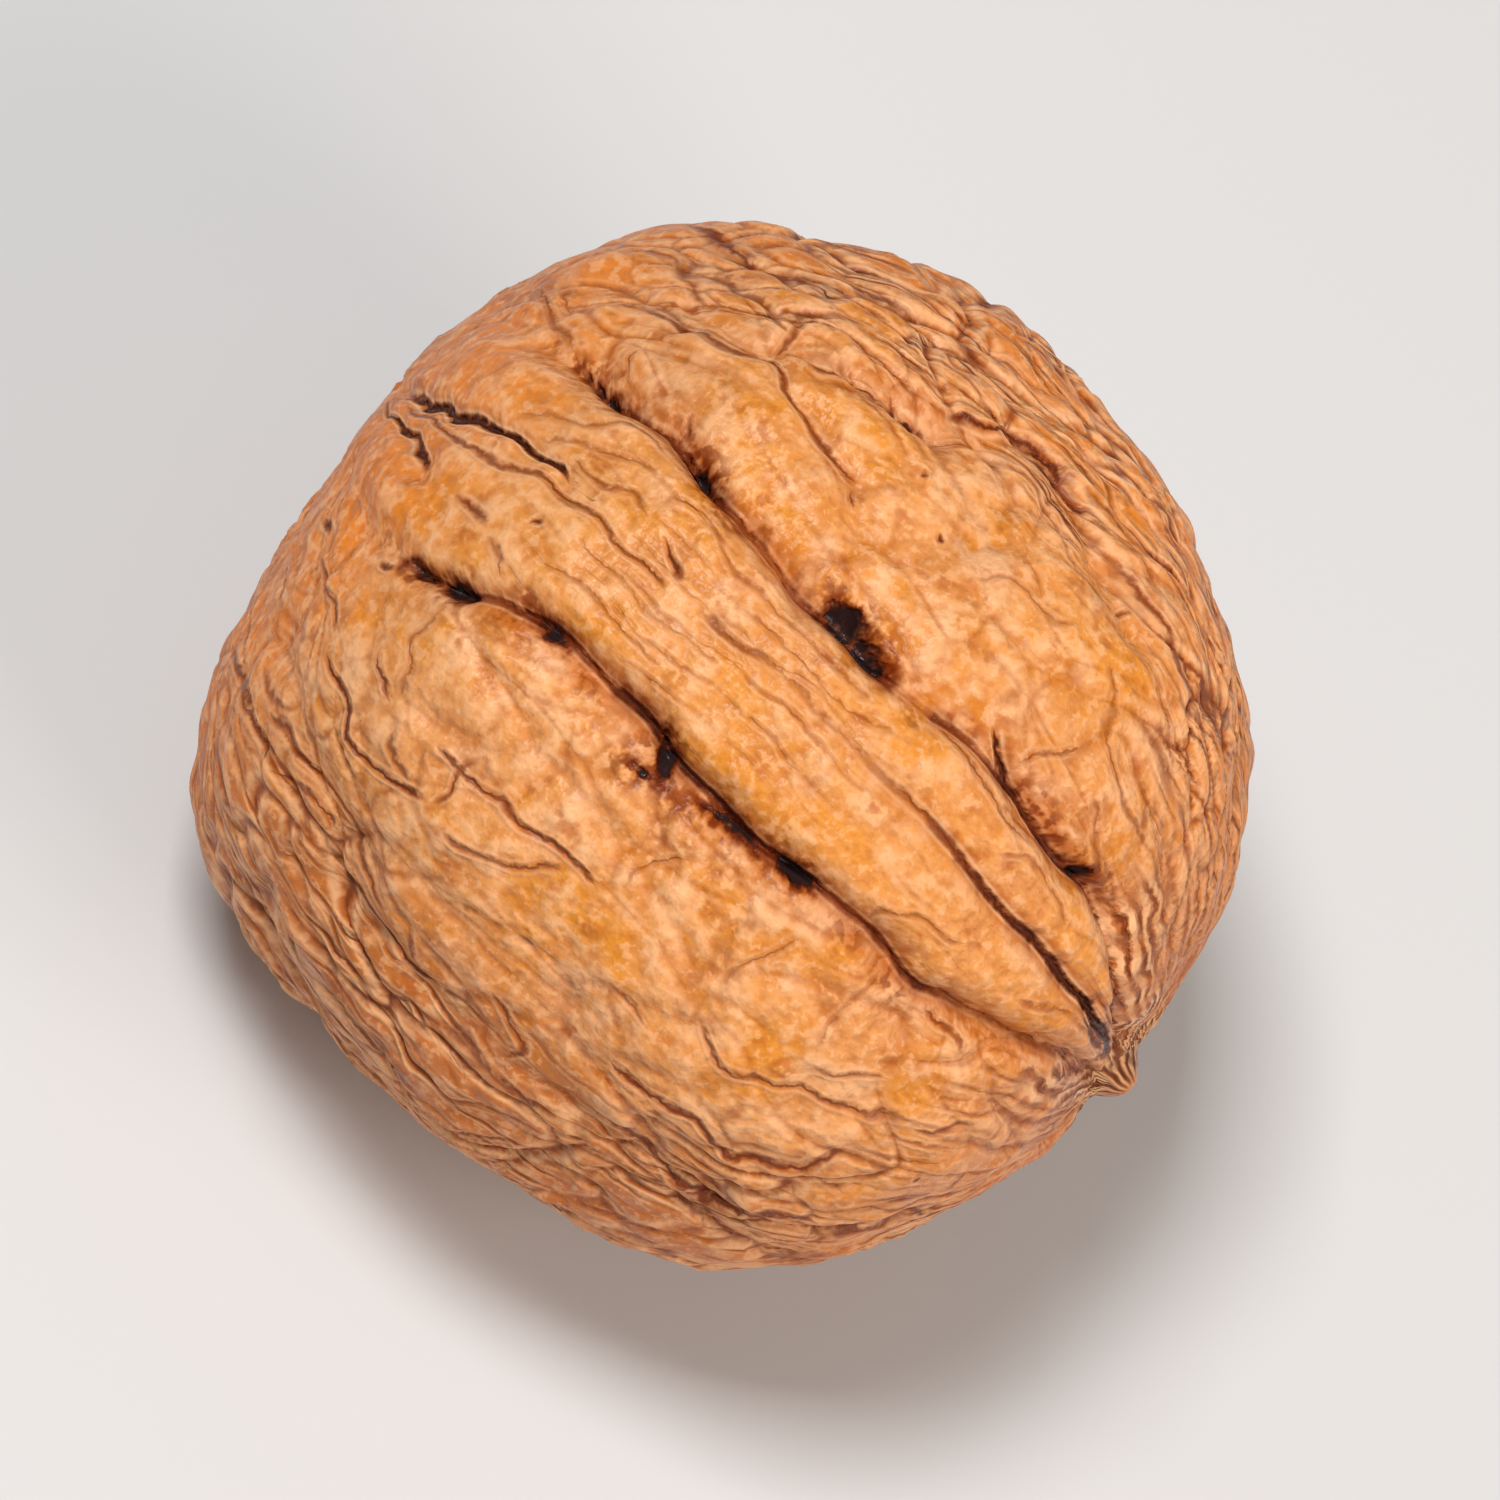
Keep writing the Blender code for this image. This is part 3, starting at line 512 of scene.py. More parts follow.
# The finest relief, in the bump: what it follows, and its height in millimetres.
FINE_RELIEF = (
    ("lips", 0.06), ("ridges", 0.06), ("pleat ridges", 0.06), ("crumb", 0.12), ("mottle", 0.36),
    ("wrinkles", -0.07), ("pleat valleys", -0.1), ("lines", -0.12), ("pits", -0.12),
)
ROUGH_MOTTLE = 0.2

# Sockets of a Mix node for colours: share, first, second.
MIX_SOCKETS = (0, 6, 7)

# Mesh size: the cube is halved this many times.
HALVINGS = 7

# Studio, in metres and degrees, and the sensor in millimetres.
CAMERA_ELEVATION = math.radians(60.0)
CAMERA_ROLL = math.radians(43.2)
FLOOR_SIZE = 4.0
# The lights stand at so much up, right and back from the nut, as the camera sees it.
LIGHT_DISTANCE = 0.5
KEY_PLACE = (0.42, -0.02, 0.9)
KEY_SIZE = 0.13
FILL_PLACE = (-0.45, 0.7, 0.55)
FILL_SIZE = 0.3
FILL_COLOUR = (1.0, 0.89, 0.8)
FLOOR_ROUGHNESS = 0.9
SENSOR_WIDTH = 36.0
NEAREST_SEEN = 0.01
WHITE = (1.0, 1.0, 1.0, 1.0)


def ease(value, low, high):
    """0 below low, 1 above high, and a smooth step between them."""
    share = np.clip((value - low) / (high - low), 0.0, 1.0)
    return share * share * (3.0 - 2.0 * share)


def swell(points, height, wavelength, seed, waves=SWELL_WAVES):
    """A smooth random swell of about plus or minus height, made of crossing waves."""
    draw = np.random.default_rng(seed)
    heading = draw.normal(size=(waves, 3))
    heading /= np.linalg.norm(heading, axis=1)[:, None]
    rate = 2.0 * math.pi * heading / (wavelength * draw.uniform(*SWELL_SPREAD, waves))[:, None]
    phase = draw.uniform(0.0, 2.0 * math.pi, waves)
    return height * np.sin(points @ rate.T + phase).sum(axis=1) / math.sqrt(2.0 * waves)


def body(directions):
    """Points and outward normals of the smooth body, one for each direction from its middle."""
    x, y, z = directions.T
    reach = np.where(x > 0.0, TIP_REACH, STEM_REACH)
    fullness = np.where(x > 0.0, TIP_FULLNESS, STEM_FULLNESS)
    length = np.abs(x) / reach
    girth = np.hypot(y / CHEEK_HALF_WIDTH, z / SEAM_HALF_DEPTH)
    size = (length**fullness + girth**fullness) ** (-1.0 / fullness)
    slope = girth ** (fullness - 2.0)
    along = np.sign(x) * length ** (fullness - 1.0) / reach
    normals = np.stack((along, slope * y / CHEEK_HALF_WIDTH**2, slope * z / SEAM_HALF_DEPTH**2), axis=1)
    normals /= np.linalg.norm(normals, axis=1)[:, None]
    points = directions * size[:, None] + BODY_CENTRE
    points[:, 1] -= STEM_SAG * ease(-points[:, 0], *STEM_SAG_SPAN)
    return points, normals


def polar(points):
    """Distance from the line between stem and tip, angle round it, and angle down from the tip."""
    middle = TIP_POINT[1] * (points[:, 0] + STEM_REACH) / (TIP_REACH + STEM_REACH)
    across = points[:, 1] - middle
    off_axis = np.hypot(across, points[:, 2])
    return off_axis, np.arctan2(across, points[:, 2]), np.arctan2(off_axis, points[:, 0] - BODY_CENTRE[0])


def net_place(points):
    """Where each point lies in the net: drawn out along the nut and pinched towards its ends."""
    off_axis, turn, down = polar(points)
    ring = CHEEK_HALF_WIDTH * (off_axis / CHEEK_HALF_WIDTH) ** NET_PINCH
    place = np.stack(
        (CHEEK_HALF_WIDTH * down / NET_DRAW_OUT, ring * np.cos(turn), ring * np.sin(turn)), axis=1
    )
    for height, wavelength, seed in NET_WANDER:
        drift = [swell(place, height, wavelength, 3 * seed + axis) for axis in range(3)]
        place = place + np.stack(drift, axis=1)
    return place


def looked_up(places, textures):
    """Blender's own textures at some points: three numbers for each point, for each texture."""
    mesh = bpy.data.meshes.new("points")
    mesh.from_pydata(places, [], [])
    carrier = bpy.data.objects.new("points", mesh)
    bpy.context.scene.collection.objects.link(carrier)
    group = bpy.data.node_groups.new("textures", "GeometryNodeTree")
    for way in ("INPUT", "OUTPUT"):
        group.interface.new_socket("Geometry", in_out=way, socket_type="NodeSocketGeometry")
    place = group.nodes.new("GeometryNodeInputPosition").outputs[0]
    last = group.nodes.new("NodeGroupInput").outputs[0]
    for name, (kind, settings, sockets, output) in textures.items():
        texture = group.nodes.new(kind)
        for setting, value in settings.items():
            setattr(texture, setting, value)
        for socket, value in sockets.items():
            texture.inputs[socket].default_value = value
        store = group.nodes.new("GeometryNodeStoreNamedAttribute")
        store.data_type = "FLOAT_VECTOR"
        store.inputs["Name"].default_value = name
        value = next(socket for socket in store.inputs if socket.name == "Value" and socket.enabled)
        group.links.new(place, texture.inputs["Vector"])
        group.links.new(last, store.inputs["Geometry"])
        group.links.new(texture.outputs[output], value)
        last = store.outputs["Geometry"]
    group.links.new(last, group.nodes.new("NodeGroupOutput").inputs[0])
    carrier.modifiers.new("textures", "NODES").node_group = group
    made = carrier.evaluated_get(bpy.context.evaluated_depsgraph_get()).data
    found = {}
    for name in textures:
        values = np.empty(len(places) * 3)
        made.attributes[name].data.foreach_get("vector", values)
        found[name] = values.reshape(-1, 3)
    bpy.data.objects.remove(carrier)
    bpy.data.meshes.remove(mesh)
    bpy.data.node_groups.remove(group)
    return found


def cells(places, size):
    """For points in the net: distance to the nearest cell border, and a random value of the cell."""
    kind, sockets = "ShaderNodeTexVoronoi", {"Scale": 1.0 / size}
    found = looked_up(places, {
        "border": (kind, {"feature": "DISTANCE_TO_EDGE"}, sockets, "Distance"),
        "cell": (kind, {"feature": "F1"}, sockets, "Color"),
    })
    return found["border"][:, 0] * size, found["cell"][:, 0]


def clouds(points, mixes):
    """Cloudy random values from 0 to 1 at the points: for each, its size, detail and span."""
    textures = {}
    for name, (size, detail, _, _) in mixes.items():
        sockets = {"Scale": 1.0 / size, "Detail": detail, "Roughness": CLOUD_ROUGHNESS}
        textures[name] = ("ShaderNodeTexNoise", {}, sockets, 0)
    found = looked_up(points, textures)
    return {name: ease(found[name][:, 0], low, high) for name, (_, _, low, high) in mixes.items()}


def net_relief(points, place):
    """Height and borders of the net: pillows of two sizes between creases, a few standing proud."""
    base, change, wavelength, seed = NET_STRENGTH
    strength = base + swell(points, change, wavelength, seed)
    strength *= 1.0 - (1.0 - NET_ON_FRONT) * ease(points[:, 2], *NET_FRONT_SPAN)
    strength *= 1.0 - (1.0 - NET_AT_ENDS) * ease(np.abs(points[:, 0]), *NET_END_SPAN)
    height = np.zeros(len(points))
    borders = []
    for size, depth in NET:
        border, value = cells(place, size)
        borders.append(border)
        soft, sharp = np.exp(-border / (PILLOW_SHARE * size)), np.exp(-border / CREASE_WIDTH)
        height += depth * strength * (1.0 - (soft + sharp) / 2.0 - NET_LEVEL)
        height += CELL_STEP * size * (value - 0.5) * ease(border, 0.0, CELL_STEP_EDGE * size)
    return height, borders


def line_across(points, front_line, back_line, wander):
    """The y of a line round the nut beside each point: one set of (x, y) in front, one behind."""
    x, _, z = points.T
    sides = []
    for line in (front_line, back_line):
        xs, ys = zip(*line)
        sides.append(sum(np.interp(x + shift, xs, ys) for shift in ROUNDING) / len(ROUNDING))
    return np.where(z > 0.0, *sides) + swell(points, *wander)


def band_lines(points):
    """How far each point lies above the upper groove, the seam line and the lower groove."""
    upper = line_across(points, UPPER_GROOVE, UPPER_BACK, UPPER_WANDER)
    seam = line_across(points, SEAM_LINE, SEAM_BACK, SEAM_WANDER)
    lower = line_across(points, LOWER_GROOVE, LOWER_BACK, LOWER_WANDER)
    return points[:, 1] - upper, points[:, 1] - seam, points[:, 1] - lower


def band_relief(points, over_upper, over_seam, over_lower):
    """Height of the raised seam band with its grooves and seam line, where it lies, and its fade."""
    x, _, z = points.T
    here = ease(np.abs(z), *BAND_DEPTH_FADE) * ease(polar(points)[0], *BAND_TIP_FADE)
    band = ease(np.minimum(-over_upper, over_lower), *BAND_SHOULDER)
    fade = BAND_STEM_SHARE + (1.0 - BAND_STEM_SHARE) * ease(x, *BAND_STEM_FADE)
    base, change, wavelength = GROOVE_RAGGED
    height = BAND_RISE * fade * band
    for over_edge, seed in ((over_upper, UPPER_RAGGED_SEED), (over_lower, LOWER_RAGGED_SEED)):
        gap = np.abs(over_edge)
        ragged = base + swell(points, change, wavelength, seed)
        height -= GROOVE_DEPTH * ragged * fade * np.exp(-((gap / GROOVE_WIDTH) ** GROOVE_STEEPNESS))
        height -= GROOVE_FLANK * fade * (1.0 - band) * np.exp(-gap / GROOVE_FLANK_WIDTH)
    deeper = SEAM_FAINT + (1.0 - SEAM_FAINT) * ease(x, *SEAM_TIPWARD)
    height -= SEAM_DEPTH * deeper * np.exp(-((np.abs(over_seam) / SEAM_WIDTH) ** SEAM_STEEPNESS))
    return height * here, band * here, fade * here


def furrow_place(points):
    """Where each point lies from the front, wavering as the furrows do."""
    return points[:, :2] + np.stack([swell(points, *waver) for waver in FURROW_WAVER], axis=1)


def path_side(flat, line):
    """How far each point lies to the left of a line of (x, y) points, and how far along it."""
    gap = np.full(len(flat), FAR_AWAY)
    side, along = np.zeros(len(flat)), np.zeros(len(flat))
    passed = 0.0
    for start, end in zip(line, line[1:]):
        start, run = np.array(start), np.subtract(end, start)
        length = np.linalg.norm(run)
        rest = flat - start
        ahead = rest @ run / length
        away = np.linalg.norm(rest - np.outer(np.clip(ahead / length, 0.0, 1.0), run), axis=1)
        closer = away < gap
        left = np.where(run[0] * rest[:, 1] > run[1] * rest[:, 0], 1.0, -1.0)
        gap = np.where(closer, away, gap)
        side = np.where(closer, left * away, side)
        along = np.where(closer, passed + ahead, along)
        passed += length
    return side, along, passed


def pit_gap(points):
    """About how far each point lies outside the nearest pit, and the depth that pits press in."""
    x, y, z = points.T
    gap = np.full(len(points), NONE_NEAR)
    depth = np.zeros(len(points))
    for at_x, at_y, half_length, half_width, tilt, pressed in PITS:
        cos, sin = math.cos(math.radians(tilt)), math.sin(math.radians(tilt))
        along, across = (x - at_x) * cos + (y - at_y) * sin, (y - at_y) * cos - (x - at_x) * sin
        along, across = np.abs(along) / half_length, np.abs(across) / half_width
        away = np.where(z > 0.0, np.hypot(along, across), FAR_AWAY)
        depth += pressed * np.exp(-(away**PIT_STEEPNESS))
        tapered = (along**PIT_TAPER + across**PIT_TAPER) ** (1.0 / PIT_TAPER)
        gap = np.minimum(gap, (np.where(z > 0.0, tapered, FAR_AWAY) - PIT_EDGE) * half_width)
    return gap, depth


def marks_relief(points):
    """Height of the pits and furrows."""
    height = -pit_gap(points)[1]
    flat = furrow_place(points)
    for line, depth, width in FURROWS:
        gap = np.where(points[:, 2] > 0.0, np.abs(path_side(flat, line)[0]), FAR_AWAY)
        height -= depth * np.exp(-((gap / width) ** FURROW_STEEPNESS))
    return height


def bulge_relief(points):
    """Height of the smooth bulges, and how far they calm the net."""
    x, y, z = points.T
    height = np.zeros(len(points))
    calm = np.zeros(len(points))
    for at_x, at_y, half_length, half_width, rise in BULGES:
        away = np.hypot((x - at_x) / half_length, (y - at_y) / half_width)
        spread = np.where(z > 0.0, np.exp(-(away**2)), 0.0)
        height += rise * spread
        calm = np.maximum(calm, spread)
    return height, BULGE_CALM * calm


def tip_rays(points):
    """Height of rays that run out from the tip."""
    off_axis, turn, _ = polar(points)
    near, far = RAY_SPAN
    reach = ease(off_axis, 0.5 * near, near) * (1.0 - ease(off_axis, near, far)) * (points[:, 0] > 0.0)
    wave = np.sin(0.5 * RAY_COUNT * turn + swell(points, *RAY_WAVER))
    return RAY_DEPTH * reach * (np.abs(wave) - RAY_LEVEL)


def line_distance(one, other):
    """The least distance between two lines of (x, y) points."""
    steps = np.linspace(0.0, 1.0, LINE_STEPS)[:, None]
    dense = [start + steps * np.subtract(end, start) for start, end in zip(one, one[1:])]
    return np.abs(path_side(np.concatenate(dense), other)[0]).min()


def crease_layers(points):
    """The placed creases, dealt out to layers so that none lies close to another: side, strength."""
    layers = [[] for _ in range(CREASE_LAYERS)]
    flat = furrow_place(points)
    sides = np.full((len(points), CREASE_LAYERS), NONE_NEAR)
    strengths = np.zeros((len(points), CREASE_LAYERS))
    for strength, line in CREASES:
        clear = [
            all(line_distance(line, other) > 2.0 * CREASE_REACH[1] for other in layer) for layer in layers
        ]
        place = clear.index(True)
        layers[place].append(line)
        side, along, length = path_side(flat, line)
        taper = min(CREASE_TAPER, CREASE_TAPER_SHARE * length)
        shows = strength * ease(along, CREASE_OVERRUN, taper) * ease(length - along, CREASE_OVERRUN, taper)
        shows *= (1.0 - ease(np.abs(side), *CREASE_REACH)) * ease(points[:, 2], *CREASE_RIM_FADE)
        nearer = np.abs(side) < np.abs(sides[:, place])
        sides[:, place] = np.where(nearer, side, sides[:, place])
        strengths[:, place] = np.where(nearer, shows, strengths[:, place])
    return sides, strengths


def wrinkle_layers(points, band):
    """Long wrinkles on the sides and rims: how far each point lies from one, and their strength."""
    off_axis, turn, _ = polar(points)
    x, _, z = points.T
    outward = 1.0 - ease(z, *WRINKLE_SPAN)
    ends = np.where(x > 0.0, ease(off_axis, *WRINKLE_END), ease(off_axis, *WRINKLE_STEM_END))
    ends *= 1.0 - ease(-x, *WRINKLE_STEMWARD) * ease(z, *WRINKLE_FRONT_FADE)
    sides, strengths = [], []
    for (count, seed), patch, on_band in zip(WRINKLES, WRINKLE_PATCHES, WRINKLE_ON_BAND):
        wander = sum(
            swell(points * WRINKLE_WANDER_STRETCH, height, wavelength, seed + WRINKLE_SEED_STEP * step)
            for step, (height, wavelength) in enumerate(WRINKLE_WANDER)
        )
        sides.append(np.sin(0.5 * count * turn + wander) * 2.0 * off_axis / count)
        patches = np.clip(patch[0] + swell(points, *patch[1:]), 0.0, 1.0)
        on_band = on_band * band * (1.0 - WRINKLE_TIP_CALM * ease(x, *WRINKLE_TIPWARD))
        strengths.append(patches * np.maximum(outward, on_band) * ends)
    return np.stack(sides, axis=1), np.stack(strengths, axis=1)


def sheaf_strength(points, over_upper, over_lower):
    """Where the fine pleats beside the band show."""
    shows = np.zeros(len(points))
    for beyond, (begin, full, near, far) in ((over_upper, UPPER_SHEAF), (-over_lower, LOWER_SHEAF)):
        beside = ease(beyond, *SHEAF_EDGE) * (1.0 - ease(beyond, near, far))
        shows = np.maximum(shows, beside * ease(points[:, 0], begin, full))
    return shows * np.clip(SHEAF_PATCHES[0] + swell(points * SHEAF_STRETCH, *SHEAF_PATCHES[1:]), 0.0, 1.0)


def line_strengths(points):
    """How dark the two grooves and the seam show at each point."""
    x, _, z = points.T
    behind = np.clip(SHOWS_BEHIND[0] + swell(points, *SHOWS_BEHIND[1:]), 0.0, 1.0)
    front = ease(z, *SHOWS_FRONT_SPAN)
    shows = [np.interp(x, *zip(*line)) for line in (UPPER_SHOWS, SEAM_SHOWS, LOWER_SHOWS)]
    return np.stack([front * show + (1.0 - front) * behind for show in shows], axis=1)


def raised(points, normals, height):
    """The points moved out by their height, with the nub drawn out at the tip."""
    down = np.array([0.0, -math.sin(ROLL), -math.cos(ROLL)])
    off_rest = np.arccos(np.clip(normals @ down, -1.0, 1.0))
    moved = points + normals * (height * ease(off_rest, *FLAT_FADE))[:, None]
    off_tip = np.hypot(moved[:, 1] - TIP_POINT[1], moved[:, 2] - TIP_POINT[2])
    nub = TIP_HEIGHT * np.exp(-((off_tip / TIP_RADIUS) ** TIP_BLUNTNESS))
    collar = TIP_COLLAR_DEPTH * np.exp(-((off_tip / TIP_COLLAR_RADIUS) ** 2))
    moved[:, 0] += (nub - collar) * (points[:, 0] > 0.0)
    return moved


def rolled(points):
    """The points rolled and pitched on to the nut's resting side."""
    x, y, z = points.T
    y, z = y * math.cos(ROLL) - z * math.sin(ROLL), y * math.sin(ROLL) + z * math.cos(ROLL)
    x, z = x * math.cos(PITCH) + z * math.sin(PITCH), z * math.cos(PITCH) - x * math.sin(PITCH)
    return np.stack((x, y, z), axis=1)


def resting_shift(points):
    """What brings the rolled nut over the origin, with its lowest part below the floor."""
    low, high = points.min(axis=0), points.max(axis=0)
    return -np.array([(low[0] + high[0]) / 2.0, (low[1] + high[1]) / 2.0, low[2] + FLAT_DEPTH])


def shared_relief(points):
    """The relief that the part's source has too: its height, and what its parts look like."""
    lines = band_lines(points)
    band_height, band, fade = band_relief(points, *lines)
    bulge_height, calm = bulge_relief(points)
    place = net_place(points)
    net_height, borders = net_relief(points, place)
    net = net_height * (1.0 - (1.0 - NET_ON_BAND) * band) * (1.0 - calm)
    lumps = sum(swell(points, *lump) for lump in LUMPS) * (1.0 - (1.0 - LUMPS_ON_BAND) * band)
    height = band_height + bulge_height + net + lumps + marks_relief(points) + tip_rays(points)
    form = {
        "lines": np.stack(lines, axis=1), "band": band, "fade": fade, "calm": calm,
        "place": place, "borders": borders, "lumps": lumps,
    }
    return height, form


def net_strengths(points, form, sheaf):
    """How strongly the two sizes of the net's lines show."""
    patches = clouds(points + PATCHES_APART, NET_SHOWS)
    front = ease(points[:, 2], *NET_FRONT_SPAN)
    ends = ease(polar(points)[0], *NET_DRAWN_TIP)
    ends = ends * (1.0 - NET_DRAWN_END_CALM * ease(np.abs(points[:, 0]), *NET_END_SPAN)) * (1.0 - sheaf)
    shows = []
    for name, (share, on_front, on_band, on_bulge) in NET_DRAWN.items():
        drawn = patches[name] * (share - on_front * front) * (1.0 - on_band * form["band"])
        shows.append(drawn * (1.0 - on_bulge * form["calm"]) * ends)
    return shows


def halo_strength(form, line_shows, smudge):
    """Where the stained crumbs beside the two grooves show."""
    beside = [
        np.exp(-(((form["lines"][:, line] - place) / width) ** 2)) * line_shows[:, line]
        for line, (place, width) in ((2, LOWER_HALO), (0, UPPER_HALO))
    ]
    return np.maximum(*beside) * form["fade"] * (HALO_LEAST + (1.0 - HALO_LEAST) * smudge)


def nub_strength(points):
    """Where the fine pleats of the nub and of the stem end show."""
    off_axis = polar(points)[0]
    shows = (1.0 - ease(off_axis, *NUB_SPAN)) * ease(off_axis, *NUB_MIDDLE)
    return shows * np.where(points[:, 0] > 0.0, 1.0, NUB_AT_STEM)


def valleys(sides, shows, width, level=0.0):
    """Depth of soft valleys along lines, summed over their layers."""
    return (shows * (np.exp(-((sides / width) ** 2)) - level)).sum(axis=1)


def shell_form(directions, sizes):
    """The resting shell in metres, and what its finish needs to know at each point."""
    points, normals = body(directions)
    height, form = shared_relief(points)
    shift = resting_shift(rolled(raised(points, normals, height)))

    lines, band, fade = form["lines"], form["band"], form["fade"]
    line_shows = line_strengths(points)
    creases, crease_shows = crease_layers(points)
    wrinkles, wrinkle_shows = wrinkle_layers(points, band)
    sheaf = sheaf_strength(points, lines[:, 0], lines[:, 2])
    net_shows = net_strengths(points, form, sheaf)

    finer = height - sizes.groove_cut / MM * valleys(lines, line_shows * fade[:, None], GROOVE_CUT_WIDTH)
    finer -= sizes.crease_depth / MM * valleys(creases, crease_shows, CREASE_VALLEY)
    finer -= sizes.wrinkle_depth / MM * valleys(
        wrinkles, wrinkle_shows * WRINKLE_SHARES, WRINKLE_WIDTH, WRINKLE_LEVEL
    )
    dents = sum(share * swell(points, 1.0, wavelength, seed) for share, wavelength, seed in DENTS)
    finer += sizes.dents / MM * dents * (1.0 - (1.0 - DENTS_ON_BAND) * band)
    for border, shows in zip(form["borders"], net_shows):
        finer += shows * NET_LIP_HEIGHT * np.exp(-(((border - NET_LIP_PLACE) / NET_LIP_WIDTH) ** 2))
        finer -= shows * NET_CUT_DEPTH * np.exp(-((border / NET_CUT_WIDTH) ** 2))
    resting = (rolled(raised(points, normals, finer)) + shift) * MM
    resting = np.clip(resting, np.array(cad_low), np.array(cad_high))

    tones = clouds(points, TONES)
    meeting = LINES_AT_TIP * ease(polar(points)[0], *LINES_TIP_FADE)
    halo = halo_strength(form, line_shows, tones["smudge"])
    known = {
        "nut": points,
        "net": form["place"],
        "lines": lines,
        "line_shows": line_shows * np.maximum(fade, meeting)[:, None],
        "creases": creases,
        "crease_shows": crease_shows,
        "wrinkles": np.column_stack((wrinkles, swell(points, *PLEAT_WAVER))),
        "wrinkle_shows": np.column_stack((wrinkle_shows * (1.0 - sheaf)[:, None], halo)),
        # The relief height kept here also sets the painted shade in the hollows of the finish.
        "form": np.column_stack((height - form["lumps"], nub_strength(points), pit_gap(points)[0])),
        "tones": np.stack((tones["gold"], tones["peach"], tones["blush"]), axis=1),
        "net_shows": np.column_stack((*net_shows, sheaf)),
    }
    return resting, known


def deselect_all():
    """Leaves nothing selected and no object in edit mode."""
    if bpy.context.mode != "OBJECT":
        bpy.ops.object.mode_set(mode="OBJECT")
    bpy.ops.object.select_all(action="DESELECT")


def add_ball(name):
    """A cube halved over and over, and the direction of each of its corners from its middle."""
    deselect_all()
    bpy.ops.mesh.primitive_cube_add(size=2.0)
    shell = bpy.context.active_object
    shell.name = name
    shell.data.name = name
    bpy.ops.object.modifier_add(type="SUBSURF")
    halving = shell.modifiers[-1]
    halving.subdivision_type = "SIMPLE"
    halving.levels = halving.render_levels = HALVINGS
    bpy.ops.object.modifier_apply(modifier=halving.name)
    corners = np.empty(len(shell.data.vertices) * 3)
    shell.data.vertices.foreach_get("co", corners)
    corners = corners.reshape(-1, 3)
    square = corners**2
    one, other = square[:, [1, 2, 0]], square[:, [2, 0, 1]]
    return shell, corners * np.sqrt(1.0 - one / 2.0 - other / 2.0 + one * other / 3.0)


class Signal:
    """One output of a node. Python expressions on it add Math nodes."""

    def __init__(self, graph, socket):
        self.graph = graph
        self.socket = socket

    def math(self, operation, *values):
        """A Math node on any values."""
        return self.graph.add("ShaderNodeMath", {"operation": operation}, dict(enumerate(values)))

    def __add__(self, other):
        return self.math("ADD", self, other)

    def __sub__(self, other):
        return self.math("SUBTRACT", self, other)

    def __rsub__(self, other):
        return self.math("SUBTRACT", other, self)

    def __mul__(self, other):
        return self.math("MULTIPLY", self, other)

    def __truediv__(self, other):
        return self.math("DIVIDE", self, other)

    def __abs__(self):
        return self.math("ABSOLUTE", self)

    __radd__ = __add__
    __rmul__ = __mul__

    def least(self, other):
        return self.math("MINIMUM", self, other)

    def most(self, other):
        return self.math("MAXIMUM", self, other)


class Graph:
    """The node tree of one material, with short ways to add to it."""

    def __init__(self, material):
        self.tree = material.node_tree
        self.surface = self.tree.nodes["Principled BSDF"]

    def add(self, kind, settings=None, sockets=None, output=0):
        """Adds a node with its settings and the values or links of its sockets."""
        node = self.tree.nodes.new(kind)
        for name, value in (settings or {}).items():
            setattr(node, name, value)
        for key, value in (sockets or {}).items():
            self.feed(node.inputs[key], value)
        return Signal(self, node.outputs[output])

    def feed(self, socket, value):
        """Links a signal to a socket, or sets the socket's own value."""
        if isinstance(value, Signal):
            self.tree.links.new(value.socket, socket)
        else:
            socket.default_value = value

    def attribute(self, name):
        """Three numbers that the mesh keeps for each of its points."""
        return self.add("ShaderNodeAttribute", {"attribute_name": name}, output=1)

    def parts(self, vector):
        """The three numbers of a vector, each on its own."""
        split = self.tree.nodes.new("ShaderNodeSeparateXYZ")
        self.feed(split.inputs[0], vector)
        return [Signal(self, socket) for socket in split.outputs]

    def step(self, value, low, high):
        """0 below low, 1 above high, and a smooth step between them. High may be the lower one."""
        sockets = {"Value": value, "From Min": low, "From Max": high}
        return self.add("ShaderNodeMapRange", {"interpolation_type": "SMOOTHSTEP"}, sockets)

    def noise(self, place, size, detail=2.0, roughness=0.5):
        """Cloudy values from 0 to 1, of about the given size in millimetres."""
        sockets = {"Vector": place, "Scale": 1.0 / size, "Detail": detail, "Roughness": roughness}
        return self.add("ShaderNodeTexNoise", None, sockets)

    def border(self, place, size):
        """Distance to the nearest cell border, in millimetres of the net."""
        sockets = {"Vector": place, "Scale": 1.0 / size}
        return self.add("ShaderNodeTexVoronoi", {"feature": "DISTANCE_TO_EDGE"}, sockets) * size

    def mix(self, share, first, second):
        """A colour between two."""
        sockets = dict(zip(MIX_SOCKETS, (share, first, second)))
        return self.add("ShaderNodeMix", {"data_type": "RGBA"}, sockets, output=2)

    def fall(self, gap, width):
        """1 on a line and 0 away from it, over about one width."""
        share = gap / width
        exponent = share * share * -1.0
        return exponent.math("EXPONENT", exponent)


def strongest(signals):
    """The greatest of some signals."""
    return functools.reduce(Signal.most, signals)


